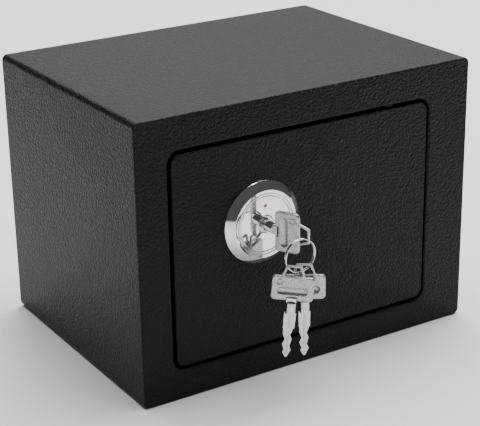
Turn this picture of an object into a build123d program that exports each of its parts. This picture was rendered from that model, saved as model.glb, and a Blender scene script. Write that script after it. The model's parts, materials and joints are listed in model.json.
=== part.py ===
from build123d import *
import math
import os

os.makedirs("parts", exist_ok=True)

# Frame: millimetres, origin on the floor under the middle of the box.
# The door faces -Y, +X is to the right of someone facing the door, +Z is up.

# ---- driving sizes -----------------------------------------------------
box_width = 230.0
box_depth = 170.0
box_height = 170.0
sheet = 1.2                 # folded body sheet
wrap_radius = 3.5           # outer bend of the long edges
face_edge_radius = 1.0      # rounding of the front edges

opening_left = -95.0        # door opening in the front
opening_right = 85.0
opening_bottom = 18.0
opening_top = 150.0
opening_radius = 8.0
flange_depth = 12.0         # how far the opening's edge is folded inward
flange_bend = 1.5

door_recess = 0.3
door_thickness = 3.0
door_radius = 6.0
gap_lock_side = 2.2
gap_hinge_side = 1.0
gap_top_bottom = 2.0

hinge_inset = 26.0          # pin centre from the door's hinge edge
hinge_set_back = 2.8        # pin centre behind the door's rear face
pin_radius = 2.0
running = 0.06              # radial clearance of turning and sliding fits
seat = 0.05                 # radial clearance of parts that are fixed together
clear = 0.4                 # air between parts that must never touch

lock_x = -35.0
lock_z = 97.0
bezel_radius = 25.0
bezel_height = 4.6
rim_radius = 20.5
disc_radius = 16.4
barrel_radius = 11.0
barrel_behind = 6.7         # barrel length behind the door
plug_radius = 5.25
blade_thickness = 2.3
blade_half_width = 3.5
keyway_clear = 0.3

cam_pin_orbit = 9.0
cam_pin_radius = 1.5
bolt_radius = 4.0
bolt_offset = 28.0          # bolts above and below the lock
bolt_tip_drawn = -93.0
bolt_length = 36.0
carrier_sheet = 2.0

bow_length = 24.0
bow_width = 15.0
bow_thickness = 2.8
loop_height = 6.4
loop_bar = 1.3
loop_thickness = 1.4
fold_inset = 1.0            # fold pin above the bow's lower edge
key_reach = 36.5            # fold pin to blade tip
key_exposed = 12.0          # lock face to fold pin
fold_angle = 28.0           # how far the inserted key's bow is folded over
ring_radius = 9.75
ring_wire = 0.5
spare_yaw = -35.0

fixing_radius = 4.0
floor_fixing_spacing = 110.0
rear_fixing_spacing = 110.0
rear_fixing_z = 95.0
mat_thickness = 2.0

# ---- derived positions -------------------------------------------------
front_y = -box_depth / 2
back_y = box_depth / 2
door_front = front_y + door_recess
door_rear = door_front + door_thickness
door_left = opening_left + gap_lock_side
door_right = opening_right - gap_hinge_side
door_bottom = opening_bottom + gap_top_bottom
door_top = opening_top - gap_top_bottom
hinge_x = door_right - hinge_inset
hinge_y = door_rear + hinge_set_back
flange_rear = front_y + flange_depth

# ---- body --------------------------------------------------------------
with BuildPart() as body_wrap:
    with BuildSketch(Plane.XZ.offset(-back_y)):
        with Locations((0, box_height / 2)):
            RectangleRounded(box_width, box_height, wrap_radius)
            RectangleRounded(box_width - 2 * sheet, box_height - 2 * sheet,
                             wrap_radius - sheet, mode=Mode.SUBTRACT)
    extrude(amount=box_depth - sheet)
    # fixing holes in the floor
    with BuildSketch(Plane.XY):
        with GridLocations(floor_fixing_spacing, 0, 2, 1):
            Circle(fixing_radius)
    extrude(amount=sheet + 1, mode=Mode.SUBTRACT)
body_wrap.part.label = "body_wrap"
export_step(body_wrap.part, "parts/body_wrap.step")

with BuildPart() as rear_panel:
    with BuildSketch(Plane.XZ.offset(-back_y)):
        with Locations((0, box_height / 2)):
            RectangleRounded(box_width - 2 * sheet, box_height - 2 * sheet,
                             wrap_radius - sheet)
        with Locations((0, rear_fixing_z)):
            with GridLocations(rear_fixing_spacing, 0, 2, 1):
                Circle(fixing_radius, mode=Mode.SUBTRACT)
    extrude(amount=sheet)
rear_panel.part.label = "rear_panel"
export_step(rear_panel.part, "parts/rear_panel.step")

opening_width = opening_right - opening_left
opening_height = opening_top - opening_bottom
opening_x = (opening_right + opening_left) / 2
opening_z = (opening_top + opening_bottom) / 2

with BuildPart() as front_frame:
    # face plate
    with BuildSketch(Plane.XZ.offset(-(front_y + sheet))):
        with Locations((0, box_height / 2)):
            RectangleRounded(box_width, box_height, wrap_radius)
    extrude(amount=sheet)
    fillet(front_frame.faces().sort_by(Axis.Y)[0].outer_wire().edges(), face_edge_radius)
    # inward flange round the opening
    with BuildSketch(Plane.XZ.offset(-flange_rear)):
        with Locations((opening_x, opening_z)):
            RectangleRounded(opening_width + 2 * sheet, opening_height + 2 * sheet,
                             opening_radius + sheet)
    extrude(amount=flange_depth - sheet)
    with BuildSketch(Plane.XZ.offset(-flange_rear)):
        with Locations((opening_x, opening_z)):
            RectangleRounded(opening_width, opening_height, opening_radius)
    extrude(amount=flange_depth, mode=Mode.SUBTRACT)
    mouth = front_frame.faces().sort_by(Axis.Y)[0].inner_wires()[0]
    fillet(mouth.edges(), flange_bend)
    # the hinge pins pass through the upper and lower flange
    with Locations((hinge_x, hinge_y, box_height / 2)):
        Cylinder(pin_radius + seat, box_height - 10, mode=Mode.SUBTRACT)
front_frame.part.label = "front_frame"
export_step(front_frame.part, "parts/front_frame.step")

with BuildPart() as floor_mat:
    with BuildSketch(Plane.XY.offset(sheet)):
        with Locations((0, 6)):
            RectangleRounded(box_width - 2 * sheet - 6, box_depth - 24, 4)
        with GridLocations(floor_fixing_spacing, 0, 2, 1):
            Circle(fixing_radius + 1, mode=Mode.SUBTRACT)
    extrude(amount=mat_thickness)
floor_mat.part.label = "floor_mat"
export_step(floor_mat.part, "parts/floor_mat.step")

# ---- frame side of the hinge -------------------------------------------
bracket_thickness = 3.0
bracket_length = 26.0
bracket_front = front_y + sheet + 0.1
bracket_depth = flange_rear - bracket_front
pin_head = 1.5
washer_thickness = 1.4
leaf_thickness = 2.5

for side, up in (("upper", 1), ("lower", -1)):
    flange_z = opening_top + sheet if up > 0 else opening_bottom - sheet
    bracket_z = flange_z + up * bracket_thickness / 2
    with BuildPart() as frame_bracket:
        with Locations((hinge_x, bracket_front + bracket_depth / 2, bracket_z)):
            Box(bracket_length, bracket_depth, bracket_thickness)
        fillet(frame_bracket.edges().filter_by(Axis.Z), 2.0)
        with Locations((hinge_x, hinge_y, bracket_z)):
            Cylinder(pin_radius + seat, bracket_thickness + 1, mode=Mode.SUBTRACT)
    frame_bracket.part.label = f"frame_hinge_bracket_{side}"
    export_step(frame_bracket.part, f"parts/frame_hinge_bracket_{side}.step")

    # headed pin from the bracket down (or up) into the door's leaf
    pin_outer = flange_z + up * bracket_thickness
    leaf_outer = door_top if up > 0 else door_bottom
    pin_inner = leaf_outer - up * (leaf_thickness + 1.0)
    with BuildPart() as hinge_pin:
        with Locations((hinge_x, hinge_y, (pin_outer + pin_inner) / 2)):
            Cylinder(pin_radius, abs(pin_outer - pin_inner))
        with Locations((hinge_x, hinge_y, pin_outer + up * pin_head / 2)):
            Cylinder(pin_radius + 1.4, pin_head)
        ends = hinge_pin.faces().sort_by(Axis.Z)
        tip = ends[0] if up > 0 else ends[-1]
        chamfer(tip.edges(), 0.5)
    hinge_pin.part.label = f"hinge_pin_{side}"
    export_step(hinge_pin.part, f"parts/hinge_pin_{side}.step")

    # door side: an angle welded to the door's rear face
    with BuildPart() as door_bracket:
        leaf_z = leaf_outer - up * leaf_thickness / 2
        with Locations((hinge_x, (door_rear + hinge_y + 5) / 2, leaf_z)):
            Box(22, hinge_y + 5 - door_rear, leaf_thickness)
        with Locations((hinge_x, door_rear + 1, leaf_outer - up * 11)):
            Box(22, 2, 22)
        outer_edges = door_bracket.edges().filter_by(Axis.Z).sort_by(Axis.Y)[-2:]
        fillet(outer_edges, 4.0)
        with Locations((hinge_x, hinge_y, leaf_z)):
            Cylinder(pin_radius + running, leaf_thickness, mode=Mode.SUBTRACT)
        # the foot is relieved round the end of the pin
        with Locations((hinge_x, hinge_y, leaf_outer - up * (leaf_thickness + 1.0))):
            Cylinder(pin_radius + clear, 2.0, mode=Mode.SUBTRACT)
    door_bracket.part.label = f"door_hinge_bracket_{side}"
    export_step(door_bracket.part, f"parts/door_hinge_bracket_{side}.step")

    with BuildPart() as hinge_washer:
        with Locations((hinge_x, hinge_y, leaf_outer + up * washer_thickness / 2)):
            Cylinder(4.0, washer_thickness)
            Cylinder(pin_radius + running, washer_thickness, mode=Mode.SUBTRACT)
    hinge_washer.part.label = f"hinge_washer_{side}"
    export_step(hinge_washer.part, f"parts/hinge_washer_{side}.step")

# ---- door --------------------------------------------------------------
with BuildPart() as door_plate:
    with BuildSketch(Plane.XZ.offset(-door_rear)):
        with Locations(((door_left + door_right) / 2, (door_bottom + door_top) / 2)):
            RectangleRounded(door_right - door_left, door_top - door_bottom, door_radius)
        with Locations((lock_x, lock_z)):
            Circle(barrel_radius + seat, mode=Mode.SUBTRACT)
    extrude(amount=door_thickness)
    fillet(door_plate.faces().sort_by(Axis.Y)[0].outer_wire().edges(), 0.6)
door_plate.part.label = "door_plate"
export_step(door_plate.part, "parts/door_plate.step")

# ---- lock, outside of the door -----------------------------------------
bezel_front = door_front - bezel_height
seat_front = door_front - 1.0            # lip the barrel's flange clamps
flange_front = door_front - 2.5
disc_front = bezel_front + 0.4
# section of the bezel: distance from the lock axis, y
bezel_section = [
    (barrel_radius + seat, door_front),
    (bezel_radius, door_front),
    (bezel_radius, door_front - 0.7),
    (rim_radius + 0.1, bezel_front + 0.25),
    (rim_radius - 0.2, bezel_front),
    (rim_radius - 1.9, bezel_front),
    (rim_radius - 1.9, bezel_front + 0.6),
    (rim_radius - 2.3, bezel_front + 0.6),
    (rim_radius - 2.3, bezel_front + 0.15),
    (disc_radius + 0.5, bezel_front + 0.15),
    (disc_radius + 0.5, bezel_front + 0.6),
    (disc_radius + seat, bezel_front + 0.6),
    (disc_radius + seat, flange_front),
    (disc_radius - 1.3, flange_front),
    (disc_radius - 1.3, seat_front),
    (barrel_radius + seat, seat_front),
]
with BuildPart() as lock_bezel:
    with BuildSketch(Plane.XY.offset(lock_z)):
        with BuildLine():
            Polyline([(lock_x + r, y) for r, y in bezel_section], close=True)
        make_face()
    revolve(axis=Axis((lock_x, 0, lock_z), (0, 1, 0)))
lock_bezel.part.label = "lock_bezel"
export_step(lock_bezel.part, "parts/lock_bezel.step")

dot_radius = 1.1
dot_up = 11.0
shoulder_radius = plug_radius + 1.25
with BuildPart() as lock_face:
    with BuildSketch(Plane.XZ.offset(-flange_front)):
        with Locations((lock_x, lock_z)):
            Circle(disc_radius)
            Circle(plug_radius + 0.15, mode=Mode.SUBTRACT)
    extrude(amount=flange_front - disc_front)
    with BuildSketch(Plane.XZ.offset(-disc_front)):
        with Locations((lock_x, lock_z + dot_up)):
            Circle(dot_radius)
    extrude(amount=-0.6, mode=Mode.SUBTRACT)
lock_face.part.label = "lock_face"
export_step(lock_face.part, "parts/lock_face.step")

with BuildPart() as indicator_dot:
    with BuildSketch(Plane.XZ.offset(-(disc_front + 0.6))):
        with Locations((lock_x, lock_z + dot_up)):
            Circle(dot_radius)
    extrude(amount=0.7)
indicator_dot.part.label = "indicator_dot"
export_step(indicator_dot.part, "parts/indicator_dot.step")

# ---- lock barrel, nut and washer ---------------------------------------
barrel_rear = door_rear + barrel_behind
shoulder_depth = 1.2
with BuildPart() as lock_body:
    with BuildSketch(Plane.XZ.offset(-barrel_rear)):
        with Locations((lock_x, lock_z)):
            Circle(barrel_radius)
    extrude(amount=barrel_rear - seat_front)
    with BuildSketch(Plane.XZ.offset(-seat_front)):
        with Locations((lock_x, lock_z)):
            Circle(disc_radius - 1.4)
    extrude(amount=seat_front - flange_front)
    with BuildSketch(Plane.XZ.offset(-barrel_rear)):
        with Locations((lock_x, lock_z)):
            Circle(plug_radius + running)
    extrude(amount=barrel_rear - flange_front, mode=Mode.SUBTRACT)
    # counterbore that keeps the plug's shoulder in
    with BuildSketch(Plane.XZ.offset(-flange_front)):
        with Locations((lock_x, lock_z)):
            Circle(shoulder_radius + running)
    extrude(amount=-(shoulder_depth + 0.6), mode=Mode.SUBTRACT)
lock_body.part.label = "lock_body"
export_step(lock_body.part, "parts/lock_body.step")

with BuildPart() as lock_washer:
    with BuildSketch(Plane.XZ.offset(-(door_rear + 1.0))):
        with Locations((lock_x, lock_z)):
            Circle(barrel_radius + 4.5)
            Circle(barrel_radius + seat, mode=Mode.SUBTRACT)
    extrude(amount=1.0)
lock_washer.part.label = "lock_washer"
export_step(lock_washer.part, "parts/lock_washer.step")

nut_height = 4.0
with BuildPart() as lock_nut:
    with BuildSketch(Plane.XZ.offset(-(door_rear + 1.0 + nut_height))):
        with Locations((lock_x, lock_z)):
            RegularPolygon(14.0, 6, major_radius=False)
            Circle(barrel_radius + seat, mode=Mode.SUBTRACT)
    extrude(amount=nut_height)
    chamfer(lock_nut.faces().sort_by(Axis.Y)[-1].outer_wire().edges(), 0.6)
lock_nut.part.label = "lock_nut"
export_step(lock_nut.part, "parts/lock_nut.step")

# ---- plug and cam ------------------------------------------------------
pivot_y = disc_front - key_exposed       # fold pin of the inserted key
blade_tip_y = pivot_y + key_reach
keyway_rear = blade_tip_y + 0.4
plug_rear = keyway_rear + 2.4
plug_front = disc_front - 0.2
stub_half = 3.0
cam_thickness = 2.0
cam_rear = plug_rear + cam_thickness
shoulder_front = flange_front + 0.3
screw_shank = 1.5
with BuildPart() as lock_plug:
    with BuildSketch(Plane.XZ.offset(-plug_rear)):
        with Locations((lock_x, lock_z)):
            Circle(plug_radius)
    extrude(amount=plug_rear - plug_front)
    chamfer(lock_plug.edges().sort_by(Axis.Y)[0], 0.4)
    with BuildSketch(Plane.XZ.offset(-(shoulder_front + shoulder_depth))):
        with Locations((lock_x, lock_z)):
            Circle(shoulder_radius)
    extrude(amount=shoulder_depth)
    # square end for the cam
    with BuildSketch(Plane.XZ.offset(-(cam_rear + 0.2))):
        with Locations((lock_x, lock_z)):
            Rectangle(2 * stub_half, 2 * stub_half)
    extrude(amount=cam_thickness + 0.2)
    # keyway, upright, as tall as the blade is wide
    with BuildSketch(Plane.XZ.offset(-keyway_rear)):
        with Locations((lock_x, lock_z)):
            Rectangle(blade_thickness + 2 * keyway_clear,
                      2 * (blade_half_width + keyway_clear))
    extrude(amount=keyway_rear - plug_front + 1, mode=Mode.SUBTRACT)
    with BuildSketch(Plane.XZ.offset(-(cam_rear + 0.2))):
        with Locations((lock_x, lock_z)):
            Circle(screw_shank + seat)
    extrude(amount=3.4, mode=Mode.SUBTRACT)
lock_plug.part.label = "lock_plug"
export_step(lock_plug.part, "parts/lock_plug.step")

# the cam pin starts 45 degrees to the right of straight up
pin_reach = cam_pin_orbit * math.sin(math.radians(45))
cam_pin_x = lock_x + pin_reach
cam_pin_z = lock_z + pin_reach
with BuildPart() as lock_cam:
    with BuildSketch(Plane.XZ.offset(-cam_rear)):
        with BuildLine():
            Polyline([(lock_x, lock_z), (cam_pin_x, cam_pin_z)])
        trace(line_width=2 * (cam_pin_radius + 2.0))
        with Locations((lock_x, lock_z)):
            Circle(6.5)
        with Locations((cam_pin_x, cam_pin_z)):
            Circle(cam_pin_radius + 2.0)
        with Locations((lock_x, lock_z)):
            Rectangle(2 * (stub_half + seat), 2 * (stub_half + seat), mode=Mode.SUBTRACT)
        with Locations((cam_pin_x, cam_pin_z)):
            Circle(cam_pin_radius, mode=Mode.SUBTRACT)
    extrude(amount=cam_thickness)
lock_cam.part.label = "lock_cam"
export_step(lock_cam.part, "parts/lock_cam.step")

bolt_y = flange_rear + 0.5 + bolt_radius
carrier_rear = bolt_y + carrier_sheet / 2
carrier_front = bolt_y - carrier_sheet / 2
with BuildPart() as cam_pin:
    with BuildSketch(Plane.XZ.offset(-(cam_rear + 0.3))):
        with Locations((cam_pin_x, cam_pin_z)):
            Circle(cam_pin_radius)
    extrude(amount=cam_rear + 0.3 - (carrier_front - 0.8))
    chamfer(cam_pin.edges().sort_by(Axis.Y)[0], 0.3)
cam_pin.part.label = "cam_pin"
export_step(cam_pin.part, "parts/cam_pin.step")

cam_washer_rear = cam_rear + 0.2 + 0.8
with BuildPart() as cam_washer:
    with BuildSketch(Plane.XZ.offset(-cam_washer_rear)):
        with Locations((lock_x, lock_z)):
            Circle(4.6)
            Circle(screw_shank + seat, mode=Mode.SUBTRACT)
    extrude(amount=0.8)
cam_washer.part.label = "cam_washer"
export_step(cam_washer.part, "parts/cam_washer.step")

with BuildPart() as cam_screw:
    with BuildSketch(Plane.XZ.offset(-(cam_washer_rear + 2.0))):
        with Locations((lock_x, lock_z)):
            Circle(3.4)
    extrude(amount=2.0)
    fillet(cam_screw.edges().sort_by(Axis.Y)[-1], 0.7)
    with BuildSketch(Plane.XZ.offset(-cam_washer_rear)):
        with Locations((lock_x, lock_z)):
            Circle(screw_shank)
    extrude(amount=4.0)
    # crossed drive
    with BuildSketch(Plane.XZ.offset(-(cam_washer_rear + 2.0))):
        with Locations((lock_x, lock_z)):
            Rectangle(3.6, 0.8)
            Rectangle(0.8, 3.6)
    extrude(amount=1.1, mode=Mode.SUBTRACT)
cam_screw.part.label = "cam_screw"
export_step(cam_screw.part, "parts/cam_screw.step")

# ---- sliding bolt carriage ---------------------------------------------
travel = 2 * pin_reach
guide_x = -84.0                          # plates the bolts slide in
guide_sheet = 2.5
carrier_left = guide_x + guide_sheet / 2 + travel + 1.0
carrier_right = 10.0
carrier_low = lock_z - bolt_offset - 6
carrier_high = lock_z + bolt_offset + 6
post_x = -11.0
post_offset = 24.0
shank_slot = 2.4                         # shoulder radius of the guide posts
slot_margin = 0.5
with BuildPart() as bolt_carrier:
    with BuildSketch(Plane.XZ.offset(-carrier_rear)):
        with Locations(((carrier_left + carrier_right) / 2, lock_z)):
            RectangleRounded(carrier_right - carrier_left, carrier_high - carrier_low, 3)
        # long slot the plug passes through
        with Locations((lock_x + travel / 2, lock_z)):
            SlotCenterToCenter(travel, 2 * (plug_radius + slot_margin),
                               mode=Mode.SUBTRACT)
        # upright slot the cam pin drives
        with Locations((cam_pin_x, lock_z + (cam_pin_orbit + cam_pin_radius + 0.5) / 2)):
            Rectangle(2 * (cam_pin_radius + slot_margin),
                      cam_pin_orbit + cam_pin_radius + 0.5, mode=Mode.SUBTRACT)
        for z in (lock_z - post_offset, lock_z + post_offset):
            with Locations((post_x + travel / 2, z)):
                SlotCenterToCenter(travel, 2 * (shank_slot + 0.35), mode=Mode.SUBTRACT)
        # rivet holes at the bolts
        for z in (lock_z - bolt_offset, lock_z + bolt_offset):
            with Locations((carrier_left + 6, z)):
                Circle(screw_shank, mode=Mode.SUBTRACT)
        # lightening holes
        for z in (lock_z - 16, lock_z + 16):
            with Locations((carrier_left + 15, z)):
                Circle(5, mode=Mode.SUBTRACT)
    extrude(amount=carrier_sheet)
bolt_carrier.part.label = "bolt_carrier"
export_step(bolt_carrier.part, "parts/bolt_carrier.step")

fork_end = carrier_left + 12
for side, up in (("upper", 1), ("lower", -1)):
    bolt_z = lock_z + up * bolt_offset
    with BuildPart() as locking_bolt:
        with BuildSketch(Plane.YZ.offset(bolt_tip_drawn)):
            with Locations((bolt_y, bolt_z)):
                Circle(bolt_radius)
        extrude(amount=fork_end - bolt_tip_drawn)
        chamfer(locking_bolt.faces().sort_by(Axis.X)[0].edges(), 1.0)
        # the inner end is forked over the carrier
        with Locations((carrier_left + 10, bolt_y, bolt_z)):
            Box(20, carrier_sheet, 3 * bolt_radius, mode=Mode.SUBTRACT)
        with BuildSketch(Plane.XZ.offset(-(bolt_y + bolt_radius))):
            with Locations((carrier_left + 6, bolt_z)):
                Circle(screw_shank)
        extrude(amount=2 * bolt_radius, mode=Mode.SUBTRACT)
    locking_bolt.part.label = f"locking_bolt_{side}"
    export_step(locking_bolt.part, f"parts/locking_bolt_{side}.step")

    # angle with the bolt's hole, welded behind the door
    with BuildPart() as bolt_guide:
        with Locations((guide_x, (door_rear + bolt_y + 7) / 2, bolt_z)):
            Box(guide_sheet, bolt_y + 7 - door_rear, 18)
        fillet(bolt_guide.edges().filter_by(Axis.X).sort_by(Axis.Y)[-2:], 3)
        with Locations((guide_x + 6, door_rear + 1, bolt_z)):
            Box(12, 2, 18)
        with BuildSketch(Plane.YZ.offset(guide_x - guide_sheet)):
            with Locations((bolt_y, bolt_z)):
                Circle(bolt_radius + running)
        extrude(amount=2 * guide_sheet, mode=Mode.SUBTRACT)
    bolt_guide.part.label = f"bolt_guide_{side}"
    export_step(bolt_guide.part, f"parts/bolt_guide_{side}.step")

with BuildPart() as bolt_rivets:
    for z in (lock_z - bolt_offset, lock_z + bolt_offset):
        with BuildSketch(Plane.XZ.offset(-(bolt_y + bolt_radius))):
            with Locations((carrier_left + 6, z)):
                Circle(screw_shank)
        extrude(amount=2 * bolt_radius)
bolt_rivets.part.label = "bolt_rivets"
export_step(bolt_rivets.part, "parts/bolt_rivets.step")

post_top = carrier_rear + clear
with BuildPart() as guide_posts:
    for z in (lock_z - post_offset, lock_z + post_offset):
        with BuildSketch(Plane.XZ.offset(-(carrier_front - clear))):
            with Locations((post_x, z)):
                Circle(4.5)
        extrude(amount=carrier_front - clear - door_rear)
        with BuildSketch(Plane.XZ.offset(-post_top)):
            with Locations((post_x, z)):
                Circle(shank_slot)
        extrude(amount=post_top - carrier_front + clear)
        with BuildSketch(Plane.XZ.offset(-post_top)):
            with Locations((post_x, z)):
                Circle(1.25 + seat)
        extrude(amount=8, mode=Mode.SUBTRACT)
guide_posts.part.label = "guide_posts"
export_step(guide_posts.part, "parts/guide_posts.step")

with BuildPart() as guide_screws:
    for z in (lock_z - post_offset, lock_z + post_offset):
        with BuildSketch(Plane.XZ.offset(-(post_top + 2.0))):
            with Locations((post_x, z)):
                Circle(4.5)
        extrude(amount=2.0)
        with BuildSketch(Plane.XZ.offset(-post_top)):
            with Locations((post_x, z)):
                Circle(1.25)
        extrude(amount=6)
        with BuildSketch(Plane.XZ.offset(-(post_top + 2.0))):
            with Locations((post_x, z)):
                Rectangle(4.4, 0.8)
                Rectangle(0.8, 4.4)
        extrude(amount=1.1, mode=Mode.SUBTRACT)
guide_screws.part.label = "guide_screws"
export_step(guide_screws.part, "parts/guide_screws.step")

# ---- split ring --------------------------------------------------------
loop_inner = loop_height - loop_bar      # clear height inside a loop
pivot_to_edge = bow_width - fold_inset
fold = math.radians(fold_angle)
pivot = Vector(lock_x, pivot_y, lock_z)
bow_out = Vector(math.sin(fold), -math.cos(fold), 0)
hang = pivot + bow_out * (pivot_to_edge + 2.3) + Vector(0, 0, -2.1)
hang_angle = math.radians(12.0)          # the wire crosses the loop off its top
ring_centre = hang + Vector(-math.sin(hang_angle), 0, -math.cos(hang_angle)) * ring_radius

with BuildPart() as key_ring:
    with BuildSketch(Plane.XY.offset(ring_centre.Z)):
        for lay in (-1, 1):
            with Locations((ring_centre.X + ring_radius,
                            ring_centre.Y + lay * (ring_wire - 0.02))):
                Circle(ring_wire)
    revolve(axis=Axis((ring_centre.X, 0, ring_centre.Z), (0, 1, 0)))
key_ring.part.label = "key_ring"
export_step(key_ring.part, "parts/key_ring.step")

# ---- three folding keys ------------------------------------------------
spare = math.radians(spare_yaw)
spare_right = Vector(math.cos(spare), math.sin(spare), 0)
spare_face = Vector(math.sin(spare), -math.cos(spare), 0)
up_z = Vector(0, 0, 1)


def spare_frames(ring_angle, lean):
    """Frames of the bow and of the blade of a key hanging on the ring."""
    around = math.radians(ring_angle)
    wire = ring_centre + Vector(math.sin(around), 0, -math.cos(around)) * ring_radius
    tilt = math.radians(lean)
    along = up_z * math.cos(tilt) + spare_right * math.sin(tilt)
    across = spare_right * math.cos(tilt) - up_z * math.sin(tilt)
    middle = wire - along * (bow_width / 2 + 2.5)
    pin_at = middle - along * (bow_width / 2 - fold_inset)
    return (Plane(origin=middle, x_dir=across, z_dir=spare_face),
            Plane(origin=pin_at, x_dir=across, z_dir=spare_face))


bow_centre = pivot + bow_out * (bow_width / 2 - fold_inset)
keys = {
    "key": (Plane(origin=bow_centre, x_dir=(0, 0, -1),
                  z_dir=(-math.cos(fold), -math.sin(fold), 0)),
            Plane(origin=pivot, x_dir=(0, 0, -1), z_dir=(-1, 0, 0))),
    "spare_key_1": spare_frames(-24.0, 5.6),
    "spare_key_2": spare_frames(16.5, 0.0),
}
edge = bow_width / 2
notch_width = 6.4
notch_depth = fold_inset + 1.6
tongue_width = 5.8
fold_pin_radius = 0.55
neck_radius = 3.0
loop_base = 6.6
loop_top = 4.4

# right and left outline of the blade below the fold pin: distance, half width
right_outline = [(8.2, 3.5), (18.0, 3.4), (18.3, 2.6), (20.2, 2.3), (22.2, 1.4),
                 (25.1, 2.5), (29.3, 1.6), (31.9, 2.6), (key_reach, 0.25)]
left_outline = [(33.4, 2.3), (31.5, 1.8), (28.2, 3.0), (25.4, 1.7), (21.7, 3.1),
                (18.6, 3.1), (18.0, 3.4), (8.2, 3.5)]

for key_name, (bow_plane, blade_plane) in keys.items():
    with BuildPart(bow_plane) as key_bow:
        with BuildSketch(bow_plane):
            RectangleRounded(bow_length, bow_width, 2.4)
        extrude(amount=bow_thickness / 2, both=True)
        rims = key_bow.faces().sort_by(Axis(bow_plane.origin, bow_plane.z_dir))
        fillet(rims[0].edges() + rims[-1].edges(), 0.7)
        # open loop for the ring, cast on the far edge
        with BuildSketch(bow_plane):
            with BuildLine():
                Polyline((-loop_base, edge - 1), (-loop_base, edge),
                         (-loop_top, edge + loop_height), (loop_top, edge + loop_height),
                         (loop_base, edge), (loop_base, edge - 1), close=True)
            make_face()
            with BuildLine():
                Polyline((-loop_base + loop_bar, edge),
                         (-loop_top + loop_bar, edge + loop_inner),
                         (loop_top - loop_bar, edge + loop_inner),
                         (loop_base - loop_bar, edge), close=True)
            make_face(mode=Mode.SUBTRACT)
        extrude(amount=loop_thickness / 2, both=True)
        # notch for the blade's tongue
        with BuildSketch(bow_plane):
            with Locations((0, -edge)):
                SlotOverall(2 * notch_depth + 4, notch_width, rotation=90)
            with Locations((0, -edge + notch_depth + 5)):
                Rectangle(bow_length, 10, mode=Mode.SUBTRACT)
        extrude(amount=bow_thickness, both=True, mode=Mode.SUBTRACT)
        for level, grow in ((bow_thickness / 2, -1), (-bow_thickness / 2, 1)):
            # long shallow recess and a ringed dimple on both faces
            with BuildSketch(bow_plane.offset(level)):
                with Locations((0, -1.6)):
                    SlotOverall(16.5, 4.1)
            extrude(amount=grow * 0.5, mode=Mode.SUBTRACT)
            with BuildSketch(bow_plane.offset(level)):
                with Locations((-7.5, 3.9)):
                    Circle(2.0)
                    Circle(1.25, mode=Mode.SUBTRACT)
            extrude(amount=grow * 0.35, mode=Mode.SUBTRACT)
        # hole of the fold pin along the bow
        with Locations(Location((0, -edge + fold_inset, 0), (0, 90, 0))):
            Cylinder(fold_pin_radius, notch_width + 5.2, mode=Mode.SUBTRACT)
    key_bow.part.label = f"{key_name}_bow"
    export_step(key_bow.part, f"parts/{key_name}_bow.step")

    with BuildPart(bow_plane) as fold_pin:
        with Locations(Location((0, -edge + fold_inset, 0), (0, 90, 0))):
            Cylinder(fold_pin_radius, notch_width + 5.2)
    fold_pin.part.label = f"{key_name}_fold_pin"
    export_step(fold_pin.part, f"parts/{key_name}_fold_pin.step")

    with BuildPart(blade_plane) as key_blade:
        # flat double-edged blade
        with BuildSketch(blade_plane):
            with BuildLine():
                Polyline([(w, -d) for d, w in right_outline]
                         + [(-w, -d) for d, w in left_outline], close=True)
            make_face()
            waves = [v for v in vertices() if -35 < v.Y < -20]
            fillet(waves, 0.5)
        extrude(amount=blade_thickness / 2, both=True)
        for level, grow in ((blade_thickness / 2, -1), (-blade_thickness / 2, 1)):
            with BuildSketch(blade_plane.offset(level)):
                with Locations((0, -21.5)):
                    SlotOverall(25, 0.8, rotation=90)
            extrude(amount=grow * 0.35, mode=Mode.SUBTRACT)
        # round neck
        with Locations(Location((0, -(2.1 + 9.4) / 2, 0), (90, 0, 0))):
            Cylinder(neck_radius, 9.4 - 2.1)
        # tongue that carries the fold pin
        with BuildSketch(blade_plane):
            with Locations((0, -1.15)):
                RectangleRounded(tongue_width, 3.5, 1.0)
        extrude(amount=1.0, both=True)
        with Locations(Location((0, 0, 0), (0, 90, 0))):
            Cylinder(fold_pin_radius + running, tongue_width, mode=Mode.SUBTRACT)
    key_blade.part.label = f"{key_name}_blade"
    export_step(key_blade.part, f"parts/{key_name}_blade.step")

print("hinge axis", hinge_x, hinge_y)
print("travel", travel, "pivot", pivot, "bow centre", bow_centre)
print("hang", hang, "ring centre", ring_centre)
for key_name, (bow_plane, blade_plane) in keys.items():
    print(key_name, "bow", bow_plane.origin, "fold pin", blade_plane.origin,
          "across", bow_plane.x_dir)
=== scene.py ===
"""Finished look of a small key-locking steel safe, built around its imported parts.

Every length is in metres unless its name ends in ``_mm``.  The door faces -Y,
+X is to the right of someone facing the door and +Z is up.
"""

from __future__ import annotations

import json
import logging
import math
from dataclasses import dataclass, field
from enum import Enum
from typing import Callable, Iterable, Optional, Sequence

import bmesh
import bpy
from mathutils import Matrix, Vector

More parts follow.
